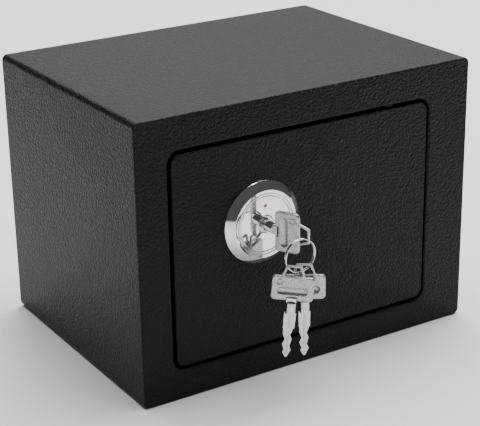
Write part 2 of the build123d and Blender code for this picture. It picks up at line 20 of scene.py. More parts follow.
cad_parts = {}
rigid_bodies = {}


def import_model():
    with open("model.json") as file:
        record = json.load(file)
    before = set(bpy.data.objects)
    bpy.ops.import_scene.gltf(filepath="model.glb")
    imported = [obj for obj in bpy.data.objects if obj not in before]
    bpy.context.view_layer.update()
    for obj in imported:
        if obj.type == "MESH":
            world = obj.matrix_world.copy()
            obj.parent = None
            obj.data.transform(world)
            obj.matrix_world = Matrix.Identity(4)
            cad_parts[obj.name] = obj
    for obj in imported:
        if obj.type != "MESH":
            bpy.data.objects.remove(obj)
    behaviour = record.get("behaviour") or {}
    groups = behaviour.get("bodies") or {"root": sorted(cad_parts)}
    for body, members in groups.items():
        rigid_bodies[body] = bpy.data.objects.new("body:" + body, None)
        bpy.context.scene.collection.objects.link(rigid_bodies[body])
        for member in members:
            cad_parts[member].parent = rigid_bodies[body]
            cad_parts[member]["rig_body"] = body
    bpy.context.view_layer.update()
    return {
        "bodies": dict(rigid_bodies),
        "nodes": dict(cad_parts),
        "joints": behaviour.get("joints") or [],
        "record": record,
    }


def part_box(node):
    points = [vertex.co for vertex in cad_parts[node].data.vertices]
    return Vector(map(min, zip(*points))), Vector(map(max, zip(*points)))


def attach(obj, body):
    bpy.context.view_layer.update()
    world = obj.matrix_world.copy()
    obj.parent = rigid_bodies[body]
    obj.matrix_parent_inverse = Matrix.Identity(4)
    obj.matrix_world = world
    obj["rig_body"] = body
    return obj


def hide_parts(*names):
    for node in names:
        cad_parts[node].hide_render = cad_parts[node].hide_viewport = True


LOG = logging.getLogger("safe")
MM = 0.001
Point = tuple[float, float, float]
Pair = tuple[float, float]


class Slot(Enum):
    """Material slots of the record, by the finish they stand for."""

    COAT = "powder_coat"
    INNER_COAT = "inner_paint"
    FELT = "felt"
    ZINC = "zinc_plate"
    # Near-black steel for the hinge pins and washers: painted shade that keeps them dark in
    # the door gap.
    BLACK = "black_oxide"
    STEEL = "bright_steel"
    CHROME = "bezel_chrome"
    DISC = "mirror_disc"
    ENAMEL = "red_enamel"
    CASTING = "lock_casting"
    SATIN = "satin_nickel"
    NICKEL = "bright_nickel"
    WIRE = "ring_steel"


# ---------------------------------------------------------------------------
# Shader groups
# ---------------------------------------------------------------------------


@dataclass
class NodeTree:
    """Small helper that adds and links nodes of one tree."""

    tree: bpy.types.NodeTree

    def add(self, kind: str, **settings: object) -> bpy.types.Node:
        """Adds a node and sets its properties.

        Args:
            kind: the node's type name.
            settings: properties by name.

        Returns:
            The new node.
        """
        node = self.tree.nodes.new(kind)
        for key, value in settings.items():
            setattr(node, key, value)
        return node

    def link(self, source: bpy.types.NodeSocket, target: bpy.types.NodeSocket) -> None:
        """Joins an output socket to an input socket."""
        self.tree.links.new(source, target)

    def math(self, operation: str, first: object,
             second: object = 0.0) -> bpy.types.NodeSocket:
        """Adds a Math node.

        Args:
            operation: the node's operation.
            first: a socket or a number.
            second: a socket or a number.

        Returns:
            The result's socket.
        """
        node = self.add("ShaderNodeMath", operation=operation)
        for index, value in enumerate((first, second)):
            if isinstance(value, bpy.types.NodeSocket):
                self.link(value, node.inputs[index])
            else:
                node.inputs[index].default_value = value
        return node.outputs[0]


@dataclass
class ShaderGroup:
    """A shader node group with named inputs and outputs."""

    name: str
    inputs: dict[str, float]
    outputs: tuple[str, ...]
    tree: bpy.types.NodeTree = field(init=False)
    helper: NodeTree = field(init=False)
    start: bpy.types.Node = field(init=False)
    end: bpy.types.Node = field(init=False)

    def __post_init__(self) -> None:
        """Makes the empty group and its sockets."""
        self.tree = bpy.data.node_groups.new(self.name, "ShaderNodeTree")
        vector = self.tree.interface.new_socket("Vector", in_out="INPUT",
                                                socket_type="NodeSocketVector")
        vector.hide_value = True
        for key, value in self.inputs.items():
            socket = self.tree.interface.new_socket(key, in_out="INPUT",
                                                    socket_type="NodeSocketFloat")
            socket.default_value = value
        for key in self.outputs:
            self.tree.interface.new_socket(key, in_out="OUTPUT",
                                           socket_type="NodeSocketFloat")
        self.helper = NodeTree(self.tree)
        self.start = self.helper.add("NodeGroupInput")
        self.end = self.helper.add("NodeGroupOutput")

    def noise(self, scale: bpy.types.NodeSocket, detail: float, roughness: float = 0.5,
              distortion: float = 0.0) -> bpy.types.NodeSocket:
        """Adds a noise texture on the group's vector and returns its value."""
        node = self.helper.add("ShaderNodeTexNoise")
        self.helper.link(self.start.outputs["Vector"], node.inputs["Vector"])
        self.helper.link(scale, node.inputs["Scale"])
        node.inputs["Detail"].default_value = detail
        node.inputs["Roughness"].default_value = roughness
        node.inputs["Distortion"].default_value = distortion
        return node.outputs["Fac"]

    def cells(self, scale: bpy.types.NodeSocket, smooth: float) -> bpy.types.NodeSocket:
        """Adds a smooth cell texture on the group's vector and returns its distance."""
        node = self.helper.add("ShaderNodeTexVoronoi", feature="SMOOTH_F1")
        self.helper.link(self.start.outputs["Vector"], node.inputs["Vector"])
        self.helper.link(scale, node.inputs["Scale"])
        node.inputs["Smoothness"].default_value = smooth
        return node.outputs["Distance"]


def build_wrinkle_group() -> ShaderGroup:
    """Wrinkled powder coat: pebbled height and a mask of its high spots."""
    group = ShaderGroup("coat_wrinkle", {"Grain": 900.0, "Fine": 0.35}, ("Height", "Crest"))
    helper = group.helper
    grain = group.start.outputs["Grain"]
    pebbles = group.cells(grain, 0.8)
    fine = group.noise(helper.math("MULTIPLY", grain, 2.3), 3.0, 0.6)
    drift = group.noise(helper.math("MULTIPLY", grain, 0.22), 2.0)
    base = helper.math("SUBTRACT", 1.0, pebbles)
    fine_part = helper.math("MULTIPLY", fine, group.start.outputs["Fine"])
    height = helper.math("ADD", base, fine_part)
    height = helper.math("ADD", height, helper.math("MULTIPLY", drift, 0.35))
    helper.link(height, group.end.inputs["Height"])
    crest = helper.math("SUBTRACT", height, 0.95)
    crest = helper.math("MULTIPLY", crest, 2.2)
    node = helper.add("ShaderNodeClamp")
    helper.link(crest, node.inputs["Value"])
    helper.link(node.outputs[0], group.end.inputs["Crest"])
    return group


def build_handling_group() -> ShaderGroup:
    """Polished metal that has been handled: cloudy smears and hair scratches."""
    group = ShaderGroup("handled_metal", {"Smear": 60.0, "Scratch": 900.0},
                        ("Cloud", "Hair"))
    helper = group.helper
    cloud = group.noise(group.start.outputs["Smear"], 3.0, 0.55, 0.4)
    helper.link(cloud, group.end.inputs["Cloud"])
    stretch = helper.add("ShaderNodeMapping")
    stretch.inputs["Scale"].default_value = (1.0, 1.0, 0.06)
    stretch.inputs["Rotation"].default_value = (0.3, 0.5, 0.2)
    helper.link(group.start.outputs["Vector"], stretch.inputs["Vector"])
    hair = helper.add("ShaderNodeTexNoise")
    helper.link(stretch.outputs[0], hair.inputs["Vector"])
    helper.link(group.start.outputs["Scratch"], hair.inputs["Scale"])
    hair.inputs["Detail"].default_value = 2.0
    helper.link(hair.outputs["Fac"], group.end.inputs["Hair"])
    return group


def build_cast_group() -> ShaderGroup:
    """Die-cast and blasted metal: fine pits over a slow swell."""
    group = ShaderGroup("cast_skin", {"Pits": 2600.0, "Swell": 260.0}, ("Height", "Tone"))
    helper = group.helper
    pits = group.cells(group.start.outputs["Pits"], 0.4)
    swell = group.noise(group.start.outputs["Swell"], 2.0)
    height = helper.math("ADD", pits, helper.math("MULTIPLY", swell, 0.6))
    helper.link(height, group.end.inputs["Height"])
    speck = group.noise(helper.math("MULTIPLY", group.start.outputs["Pits"], 0.6), 2.0, 0.7)
    helper.link(speck, group.end.inputs["Tone"])
    return group


# ---------------------------------------------------------------------------
# Finishes
# ---------------------------------------------------------------------------


@dataclass
class Groups:
    """The shader groups that the finishes share."""

    wrinkle: ShaderGroup
    handled: ShaderGroup
    cast: ShaderGroup


@dataclass
class MaterialDraft:
    """One material under construction, with its Principled shader."""

    name: str
    material: bpy.types.Material = field(init=False)
    nodes: NodeTree = field(init=False)
    shader: bpy.types.Node = field(init=False)

    def __post_init__(self) -> None:
        """Makes the material and finds its shader."""
        self.material = bpy.data.materials.new(self.name)
        self.material.use_nodes = True
        self.nodes = NodeTree(self.material.node_tree)
        self.shader = self.material.node_tree.nodes["Principled BSDF"]

    def fixed(self, **values: object) -> None:
        """Sets constants on the shader's own sockets, by name with underscores."""
        for key, value in values.items():
            self.shader.inputs[key.replace("_", " ")].default_value = value

    def group(self, group: ShaderGroup, **values: float) -> bpy.types.Node:
        """Places a shared group on Object coordinates.

        Args:
            group: the group to place.
            values: numbers for its named inputs.

        Returns:
            The group's node.
        """
        node = self.nodes.add("ShaderNodeGroup", node_tree=group.tree)
        place = self.nodes.add("ShaderNodeTexCoord")
        self.nodes.link(place.outputs["Object"], node.inputs["Vector"])
        for key, value in values.items():
            node.inputs[key].default_value = value
        return node

    def spread(self, value: bpy.types.NodeSocket, target: str, low: float, high: float,
               start: float = 0.35, stop: float = 0.65) -> None:
        """Maps a value that varies over the surface onto one of the shader's numbers."""
        node = self.nodes.add("ShaderNodeMapRange")
        self.nodes.link(value, node.inputs["Value"])
        for key, number in (("From Min", start), ("From Max", stop),
                            ("To Min", low), ("To Max", high)):
            node.inputs[key].default_value = number
        self.nodes.link(node.outputs["Result"], self.shader.inputs[target])

    def tint(self, value: bpy.types.NodeSocket, dark: Point, light: Point,
             start: float = 0.35, stop: float = 0.65) -> None:
        """Blends two colours by a value and feeds Base Color."""
        ramp = self.nodes.add("ShaderNodeValToRGB")
        ramp.color_ramp.elements[0].position = start
        ramp.color_ramp.elements[0].color = (*dark, 1.0)
        ramp.color_ramp.elements[1].position = stop
        ramp.color_ramp.elements[1].color = (*light, 1.0)
        self.nodes.link(value, ramp.inputs["Fac"])
        self.nodes.link(ramp.outputs["Color"], self.shader.inputs["Base Color"])

    def relief(self, height: bpy.types.NodeSocket, strength: float,
               distance: float) -> None:
        """Feeds a height through a Bump node to the shader's normal."""
        bump = self.nodes.add("ShaderNodeBump")
        bump.inputs["Strength"].default_value = strength
        bump.inputs["Distance"].default_value = distance
        self.nodes.link(height, bump.inputs["Height"])
        self.nodes.link(bump.outputs["Normal"], self.shader.inputs["Normal"])


@dataclass(frozen=True)
class CoatFinish:
    """Black wrinkle powder coat."""

    name: str
    dark: Point = (0.0040, 0.0040, 0.0043)
    light: Point = (0.0150, 0.0150, 0.0155)
    grain: float = 720.0
    roughness: Pair = (0.24, 0.46)
    relief_strength: float = 1.0
    relief_depth: float = 0.00055
    specular: float = 0.17

    def build(self, groups: Groups) -> bpy.types.Material:
        """Builds the material."""
        draft = MaterialDraft(self.name)
        draft.fixed(Specular_IOR_Level=self.specular)
        node = draft.group(groups.wrinkle, Grain=self.grain)
        draft.tint(node.outputs["Crest"], self.dark, self.light, 0.1, 0.9)
        draft.spread(node.outputs["Crest"], "Roughness", self.roughness[1],
                     self.roughness[0], 0.0, 1.0)
        draft.relief(node.outputs["Height"], self.relief_strength, self.relief_depth)
        return draft.material


@dataclass(frozen=True)
class PolishedFinish:
    """Plated or polished metal with light handling marks."""

    name: str
    dark: Point
    light: Point
    roughness: Pair
    smear: float = 60.0
    scratch: float = 900.0
    hair_depth: float = 0.0
    anisotropic: float = 0.0

    def build(self, groups: Groups) -> bpy.types.Material:
        """Builds the material."""
        draft = MaterialDraft(self.name)
        draft.fixed(Metallic=1.0, Anisotropic=self.anisotropic)
        node = draft.group(groups.handled, Smear=self.smear, Scratch=self.scratch)
        draft.tint(node.outputs["Cloud"], self.dark, self.light)
        draft.spread(node.outputs["Cloud"], "Roughness", self.roughness[0],
                     self.roughness[1])
        if self.hair_depth > 0:
            draft.relief(node.outputs["Hair"], 0.25, self.hair_depth)
        return draft.material


@dataclass(frozen=True)
class CastFinish:
    """Satin plating over a blasted casting."""

    name: str
    dark: Point
    light: Point
    roughness: Pair
    pits: float = 2600.0
    depth: float = 0.00006

    def build(self, groups: Groups) -> bpy.types.Material:
        """Builds the material."""
        draft = MaterialDraft(self.name)
        draft.fixed(Metallic=1.0)
        node = draft.group(groups.cast, Pits=self.pits)
        draft.tint(node.outputs["Tone"], self.dark, self.light)
        draft.spread(node.outputs["Tone"], "Roughness", self.roughness[0],
                     self.roughness[1])
        draft.relief(node.outputs["Height"], 0.35, self.depth)
        return draft.material


@dataclass(frozen=True)
class EnamelFinish:
    """Glossy paint fill."""

    name: str
    color: Point

    def build(self, groups: Groups) -> bpy.types.Material:
        """Builds the material."""
        draft = MaterialDraft(self.name)
        draft.fixed(Roughness=0.22, Coat_Weight=0.4, Coat_Roughness=0.08)
        node = draft.group(groups.handled, Smear=1500.0)
        shade = tuple(channel * 0.75 for channel in self.color)
        draft.tint(node.outputs["Cloud"], shade, self.color)
        return draft.material


@dataclass(frozen=True)
class FeltFinish:
    """Needle felt."""

    name: str
    dark: Point = (0.018, 0.019, 0.021)
    light: Point = (0.06, 0.062, 0.068)

    def build(self, groups: Groups) -> bpy.types.Material:
        """Builds the material."""
        draft = MaterialDraft(self.name)
        draft.fixed(Roughness=0.95, Specular_IOR_Level=0.15, Sheen_Weight=0.35,
                    Sheen_Roughness=0.5)
        node = draft.group(groups.cast, Pits=1300.0, Swell=420.0)
        draft.tint(node.outputs["Tone"], self.dark, self.light, 0.3, 0.7)
        draft.relief(node.outputs["Height"], 0.9, 0.0006)
        return draft.material


@dataclass
class Finishes:
    """All the safe's materials, by slot."""

    made: dict[Slot, bpy.types.Material] = field(default_factory=dict)

    def build(self) -> None:
        """Builds the shared groups and every material."""
        groups = Groups(build_wrinkle_group(), build_handling_group(), build_cast_group())
        recipes: dict[Slot, object] = {
            Slot.COAT: CoatFinish("black_wrinkle_coat"),
            Slot.INNER_COAT: CoatFinish("black_bracket_coat", grain=1100.0,
                                        relief_strength=0.3),
            Slot.FELT: FeltFinish("grey_needle_felt"),
            Slot.ZINC: PolishedFinish("zinc_plating", (0.50, 0.51, 0.52),
                                      (0.66, 0.65, 0.61), (0.26, 0.42), 140.0,
                                      hair_depth=0.00001),
            # Near-black hinge pin steel: painted shade for the dark door gap.
            Slot.BLACK: PolishedFinish("black_oxide_steel", (0.020, 0.020, 0.021),
                                       (0.045, 0.044, 0.043), (0.32, 0.46), 160.0),
            Slot.STEEL: PolishedFinish("turned_bright_steel", (0.52, 0.52, 0.53),
                                       (0.66, 0.66, 0.66), (0.18, 0.30), 120.0,
                                       anisotropic=0.4),
            Slot.CHROME: PolishedFinish("rosette_chrome", (0.74, 0.745, 0.75),
                                        (0.82, 0.82, 0.82), (0.035, 0.075), 45.0),
            Slot.DISC: PolishedFinish("mirror_stainless", (0.84, 0.84, 0.83),
                                      (0.88, 0.88, 0.87), (0.02, 0.045), 50.0),
            Slot.ENAMEL: EnamelFinish("red_fill", (0.50, 0.008, 0.006)),
            Slot.CASTING: PolishedFinish("plated_lock_casting", (0.58, 0.58, 0.58),
                                         (0.70, 0.70, 0.69), (0.12, 0.22), 150.0),
            Slot.SATIN: CastFinish("blasted_key_head", (0.26, 0.26, 0.26),
                                   (0.66, 0.66, 0.65), (0.26, 0.44), 2400.0, 0.00022),
            Slot.NICKEL: PolishedFinish("bright_nickel_plate", (0.55, 0.545, 0.53),
                                        (0.70, 0.69, 0.67), (0.10, 0.22), 160.0,
                                        hair_depth=0.00002),
            Slot.WIRE: PolishedFinish("spring_wire", (0.52, 0.52, 0.52),
                                      (0.68, 0.68, 0.67), (0.12, 0.24), 260.0),
        }
        for slot, recipe in recipes.items():
            self.made[slot] = recipe.build(groups)
        LOG.info("finishes: %d", len(self.made))

    def get(self, slot: Slot) -> bpy.types.Material:
        """Returns the material of a slot."""
        return self.made[slot]


# ---------------------------------------------------------------------------
# Mesh helpers
# ---------------------------------------------------------------------------


def link(obj: bpy.types.Object) -> bpy.types.Object:
    """Puts an object into the scene and returns it."""
    bpy.context.scene.collection.objects.link(obj)
    return obj


def finish_mesh(mesh: bpy.types.Mesh, sharp_deg: float = 32.0) -> None:
    """Merges doubles, turns faces outwards and shades the mesh.

    Args:
        mesh: the mesh to finish.
        sharp_deg: edges sharper than this stay crisp.
    """
    cage = bmesh.new()
    cage.from_mesh(mesh)
    bmesh.ops.remove_doubles(cage, verts=cage.verts, dist=1e-7)
    bmesh.ops.recalc_face_normals(cage, faces=cage.faces)
    if cage.calc_volume(signed=True) < 0:
        bmesh.ops.reverse_faces(cage, faces=cage.faces)
    cage.to_mesh(mesh)
    cage.free()
    for polygon in mesh.polygons:
        polygon.use_smooth = True
    mesh.set_sharp_from_angle(angle=math.radians(sharp_deg))


def mesh_piece(name: str, verts: Sequence[Point], faces: Sequence[Sequence[int]],
               sharp_deg: float = 32.0) -> bpy.types.Object:
    """Makes a closed mesh object from points and faces."""
    mesh = bpy.data.meshes.new(name)
    mesh.from_pydata([tuple(v) for v in verts], [], [tuple(f) for f in faces])
    finish_mesh(mesh, sharp_deg)
    return link(bpy.data.objects.new(name, mesh))


def soften(profile: Sequence[Pair], radius: float, steps: int = 4,
           closed: bool = True) -> list[Pair]:
    """Rounds the corners of a polyline.

    Args:
        profile: corner points.
        radius: wanted radius, cut down where the sides are short.
        steps: segments in each rounded corner.
        closed: whether the last point joins the first.

    Returns:
        The rounded polyline.
    """
    count = len(profile)
    result: list[Pair] = []
    for index, corner in enumerate(profile):
        if not closed and index in (0, count - 1):
            result.append(corner)
            continue
        here = Vector(corner)
        before = Vector(profile[index - 1]) - here
        after = Vector(profile[(index + 1) % count]) - here
        if before.length < 1e-9 or after.length < 1e-9:
            continue
        angle = before.angle(after)
        if angle > math.radians(172):
            result.append(corner)
            continue
        reach = min(radius / math.tan(angle / 2), 0.45 * before.length,
                    0.45 * after.length)
        first = here + before.normalized() * reach
        last = here + after.normalized() * reach
        for step in range(steps + 1):
            share = step / steps
            bend = first.lerp(here, share).lerp(here.lerp(last, share), share)
            result.append((bend.x, bend.y))
    return result


def skin(loops: Sequence[Sequence[Point]], ring: bool = False,
         cap_first: bool = False, cap_last: bool = False
         ) -> tuple[list[Point], list[list[int]]]:
    """Joins loops of equal length into a surface.

    Args:
        loops: closed loops of points.
        ring: whether the last loop joins the first one.
        cap_first: whether the first loop is filled.
        cap_last: whether the last loop is filled.

    Returns:
        Points and faces.
    """
    size = len(loops[0])
    verts = [point for loop in loops for point in loop]
    faces: list[list[int]] = []
    spans = len(loops) if ring else len(loops) - 1
    for row in range(spans):
        base, above = row * size, ((row + 1) % len(loops)) * size
        for column in range(size):
            nxt = (column + 1) % size
            faces.append([base + column, base + nxt, above + nxt, above + column])
    if cap_first:
        faces.append(list(range(size))[::-1])
    if cap_last:
        faces.append(list(range((len(loops) - 1) * size, len(loops) * size)))
    return verts, faces


def quarter(steps: int) -> list[float]:
    """Angles of a quarter turn, from nothing to a right angle."""
    return [math.pi / 2 * step / steps for step in range(steps + 1)]


class Turning(Enum):
    """Axis that a turned piece is turned about."""

    ALONG_X = "x"
    ALONG_Y = "y"
    ALONG_Z = "z"


def turned(name: str, centre: Point, axis: Turning, profile: Sequence[Pair],
           rounding: float = 0.0, segments: int = 96,
           sharp_deg: float = 32.0) -> bpy.types.Object:
    """Turns a closed profile about an axis.

    Args:
        name: the piece's name.
        centre: a point on the axis; its coordinate along the axis is ignored.
        axis: the direction of the axis.
        profile: closed profile of (radius, position along the axis).
        rounding: radius that softens the profile's corners.
        segments: steps round the axis.
        sharp_deg: edges sharper than this stay crisp.

    Returns:
        The piece.
    """
    outline = soften(profile, rounding) if rounding > 0 else list(profile)
    on_axis = min(radius for radius, _ in outline) < 1e-7
    loops: list[list[Point]] = []
    for radius, level in outline:
        loop: list[Point] = []
        for step in range(segments):
            turn = 2 * math.pi * step / segments
            across, up = radius * math.cos(turn), radius * math.sin(turn)
            if axis is Turning.ALONG_Y:
                loop.append((centre[0] + across, level, centre[2] + up))
            elif axis is Turning.ALONG_X:
                loop.append((level, centre[1] + across, centre[2] + up))
            else:
                loop.append((centre[0] + across, centre[1] + up, level))
        loops.append(loop)
    verts, faces = skin(loops, ring=not on_axis)
    return mesh_piece(name, verts, faces, sharp_deg)


def trough(centre: Point, axis: Turning, radius: float, span: Pair, steps: int,
           segments: int) -> bpy.types.Object:
    """Round bar with ball ends, for cutting a trough.

    Args:
        centre: a point on the bar's axis.
        axis: the direction of the bar.
        radius: the bar's radius.
        span: the middles of the two ball ends along the axis.
        steps: segments in each ball's quarter.
        segments: steps round the axis.

    Returns:
        The cutter.
    """
    outline = [(radius * math.sin(turn), span[0] - radius * math.cos(turn))
               for turn in quarter(steps)]
    outline += [(radius * math.cos(turn), span[1] + radius * math.sin(turn))
                for turn in quarter(steps)]
    return turned("cutter", centre, axis, outline, segments=segments)


def rounded_loop(low: Pair, high: Pair, radius: float, steps: int = 16) -> list[Pair]:
    """Outline of a rounded rectangle, always with the same number of points.

    Args:
        low: left and bottom.
        high: right and top.
        radius: corner radius.
        steps: segments in each corner.

    Returns:
        Points, anticlockwise from the right side of the bottom right corner.
    """
    left, right = low[0] + radius, high[0] - radius
    bottom, top = low[1] + radius, high[1] - radius
    corners = ((right, bottom, -90), (right, top, 0), (left, top, 90), (left, bottom, 180))
    outline: list[Pair] = []
    for across, up, begin in corners:
        for step in range(steps + 1):
            turn = math.radians(begin + 90 * step / steps)
            outline.append((across + radius * math.cos(turn), up + radius * math.sin(turn)))
    return outline


def plate(name: str, outlines: Sequence[Callable[[float], list[Pair]]], near: float,
          far: float, near_edge: float, far_edge: float,
          place: Callable[[float, float, float], Point], steps: int = 4
          ) -> bpy.types.Object:
    """Makes a flat plate with holes and rounded edges.

    Args:
        name: the piece's name.
        outlines: functions that give the outer outline, then each hole, drawn in by
            a distance towards the plate's metal.
        near: position of one face across the plate.
        far: position of the other face.
        near_edge: rounding of the near face's edges.
        far_edge: rounding of the far face's edges.
        place: puts (first, second, across) into the scene's axes.
        steps: segments in each rounding.

    Returns:
        The piece.
    """
    way = 1.0 if far > near else -1.0
    levels: list[Pair] = [(near_edge * (1 - math.sin(turn)),
                           near + way * near_edge * (1 - math.cos(turn)))
                          for turn in quarter(steps)]
    levels += [(far_edge * (1 - math.cos(turn)), far - way * far_edge * (1 - math.sin(turn)))
               for turn in quarter(steps)]
    cage = bmesh.new()
    for face_index in (0, len(levels) - 1):
        edges: list[bmesh.types.BMEdge] = []
        for outline in outlines:
            inset, level = levels[face_index]
            verts = [cage.verts.new((a, b, level)) for a, b in outline(inset)]
            edges += [cage.edges.new((verts[k], verts[(k + 1) % len(verts)]))
                      for k in range(len(verts))]
        bmesh.ops.triangle_fill(cage, edges=edges, use_beauty=True)
    for outline in outlines:
        rows = [[cage.verts.new((a, b, level)) for a, b in outline(inset)]
                for inset, level in levels]
        for low, high in zip(rows, rows[1:]):
            for k in range(len(low)):
                nxt = (k + 1) % len(low)
                cage.faces.new((low[k], low[nxt], high[nxt], high[k]))
    bmesh.ops.remove_doubles(cage, verts=cage.verts, dist=1e-7)
    bmesh.ops.dissolve_limit(cage, angle_limit=math.radians(0.05), verts=cage.verts,
                             edges=cage.edges, delimit={"NORMAL"})
    for vertex in cage.verts:
        vertex.co = place(*vertex.co)
    mesh = bpy.data.meshes.new(name)
    cage.to_mesh(mesh)
    cage.free()
    finish_mesh(mesh)
    return link(bpy.data.objects.new(name, mesh))


def rectangle(low: Pair, high: Pair, radius: float, steps: int = 12
              ) -> Callable[[float], list[Pair]]:
    """Outline function of a rounded rectangle for `plate`."""
    return lambda inset: rounded_loop((low[0] + inset, low[1] + inset),
                                      (high[0] - inset, high[1] - inset),
                                      radius - inset, steps)


def round_hole(across: float, up: float, radius: float, steps: int = 64
               ) -> Callable[[float], list[Pair]]:
    """Outline function of a round hole for `plate`."""
    return lambda inset: circle(across, up, radius + inset, steps)


def circle(across: float, up: float, radius: float, steps: int = 64) -> list[Pair]:
    """Points of a circle."""
    return [(across + radius * math.cos(2 * math.pi * k / steps),
             up + radius * math.sin(2 * math.pi * k / steps)) for k in range(steps)]


def drawn_in(corners: Sequence[Pair], inset: float) -> list[Pair]:
    """Moves every side of an anticlockwise polygon inwards by a distance."""
    moved: list[Pair] = []
    for index, corner in enumerate(corners):
        here = Vector(corner)
        back = (here - Vector(corners[index - 1])).normalized()
        ahead = (Vector(corners[(index + 1) % len(corners)]) - here).normalized()
        normal = Vector((-back.y - ahead.y, back.x + ahead.x)).normalized()
        reach = inset / max(0.2, normal.dot(Vector((-back.y, back.x))))
        moved.append(tuple(here + normal * reach))
    return moved


def polygon(corners: Sequence[Pair], radius: float, hole: bool = False,
            steps: int = 6) -> Callable[[float], list[Pair]]:
    """Outline function of a polygon with rounded corners for `plate`."""
    way = -1.0 if hole else 1.0
    return lambda inset: soften(drawn_in(corners, way * inset),
                                max(radius - way * inset, 0.05 * MM), steps)


def apply_modifiers(obj: bpy.types.Object) -> bpy.types.Mesh:
    """Turns an object's modifiers into its plain mesh and returns the mesh."""
    bpy.context.view_layer.update()
    graph = bpy.context.evaluated_depsgraph_get()
    mesh = bpy.data.meshes.new_from_object(obj.evaluated_get(graph))
    obj.modifiers.clear()
    old = obj.data
    obj.data = mesh
    bpy.data.meshes.remove(old)
    return mesh


def bake_modifiers(obj: bpy.types.Object, sharp_deg: float = 32.0) -> None:
    """Applies an object's modifiers to its mesh and shades it again."""
    finish_mesh(apply_modifiers(obj), sharp_deg)


def round_edges(obj: bpy.types.Object, width: float, segments: int,
                angle_deg: float) -> None:
    """Adds a bevel modifier.

    Args:
        obj: the object to round.
        width: width of the rounding.
        segments: steps in the rounding.
        angle_deg: edges sharper than this are rounded.
    """
    bevel = obj.modifiers.new("edges", "BEVEL")
    bevel.width, bevel.segments = width, segments
    bevel.limit_method, bevel.angle_limit = "ANGLE", math.radians(angle_deg)


def drill(obj: bpy.types.Object, cutters: Iterable[bpy.types.Object],
          operation: str = "DIFFERENCE") -> None:
    """Cuts pieces out of an object, or joins them to it, and removes them.

    Args:
        obj: the object to change.
        cutters: the pieces to cut out or join.
        operation: the boolean's operation.
    """
    tools = list(cutters)
    for tool in tools:
        modifier = obj.modifiers.new("drill", "BOOLEAN")
        modifier.object = tool
        modifier.operation = operation
        modifier.solver = "EXACT"
    bake_modifiers(obj)
    for tool in tools:
        bpy.data.objects.remove(tool)


@dataclass
class Workshop:
    """What every sub-assembly needs: the frame and the finishes."""

    frame: dict
    finishes: Finishes

    def box(self, node: str) -> tuple[Vector, Vector]:
        """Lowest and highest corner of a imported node."""
        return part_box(node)

    def body_of(self, node: str) -> str:
        """Name of the rigid body that a node belongs to."""
        return self.frame["nodes"][node]["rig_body"]

    def adopt(self, obj: bpy.types.Object, nodes: Sequence[str],
              slot: Slot) -> bpy.types.Object:
        """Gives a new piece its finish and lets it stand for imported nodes.

        Args:
            obj: the new piece.
            nodes: the nodes it stands for, all of one body.
            slot: its finish.

        Returns:
            The piece.
        """
        if not obj.data.materials:
            obj.data.materials.append(self.finishes.get(slot))
        self.balance_normals(obj)
        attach(obj, self.body_of(nodes[0]))
        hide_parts(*nodes)
        LOG.info("%s: %d faces", obj.name, len(obj.data.polygons))
        return obj

    def refined(self, node: str, name: str, edge: float) -> bpy.types.Object:
        """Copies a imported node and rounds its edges.

        Args:
            node: the node to copy.
            name: the new piece's name.
            edge: width of the rounding.

        Returns:
            The new piece.
        """
        mesh = self.frame["nodes"][node].data.copy()
        mesh.materials.clear()
        cage = bmesh.new()
        cage.from_mesh(mesh)
        bmesh.ops.remove_doubles(cage, verts=cage.verts, dist=2e-6)
        bmesh.ops.dissolve_limit(cage, angle_limit=math.radians(0.6),
                                 verts=cage.verts, edges=cage.edges)
        cage.to_mesh(mesh)
        cage.free()
        for layer in list(mesh.attributes):
            if layer.name in ("custom_normal", "sharp_face", "sharp_edge"):
                mesh.attributes.remove(layer)
        obj = link(bpy.data.objects.new(name, mesh))
        round_edges(obj, edge, 3, 35.0)
        bake_modifiers(obj)
        return obj

    def balance_normals(self, obj: bpy.types.Object) -> None:
        """Weights the shading by face area, so that flats next to roundings stay flat."""
        modifier = obj.modifiers.new("normals", "WEIGHTED_NORMAL")
        modifier.mode = "FACE_AREA"
        modifier.weight = 50
        modifier.keep_sharp = True
        apply_modifiers(obj).name = obj.name


# ---------------------------------------------------------------------------
# Geometry node trees
# ---------------------------------------------------------------------------


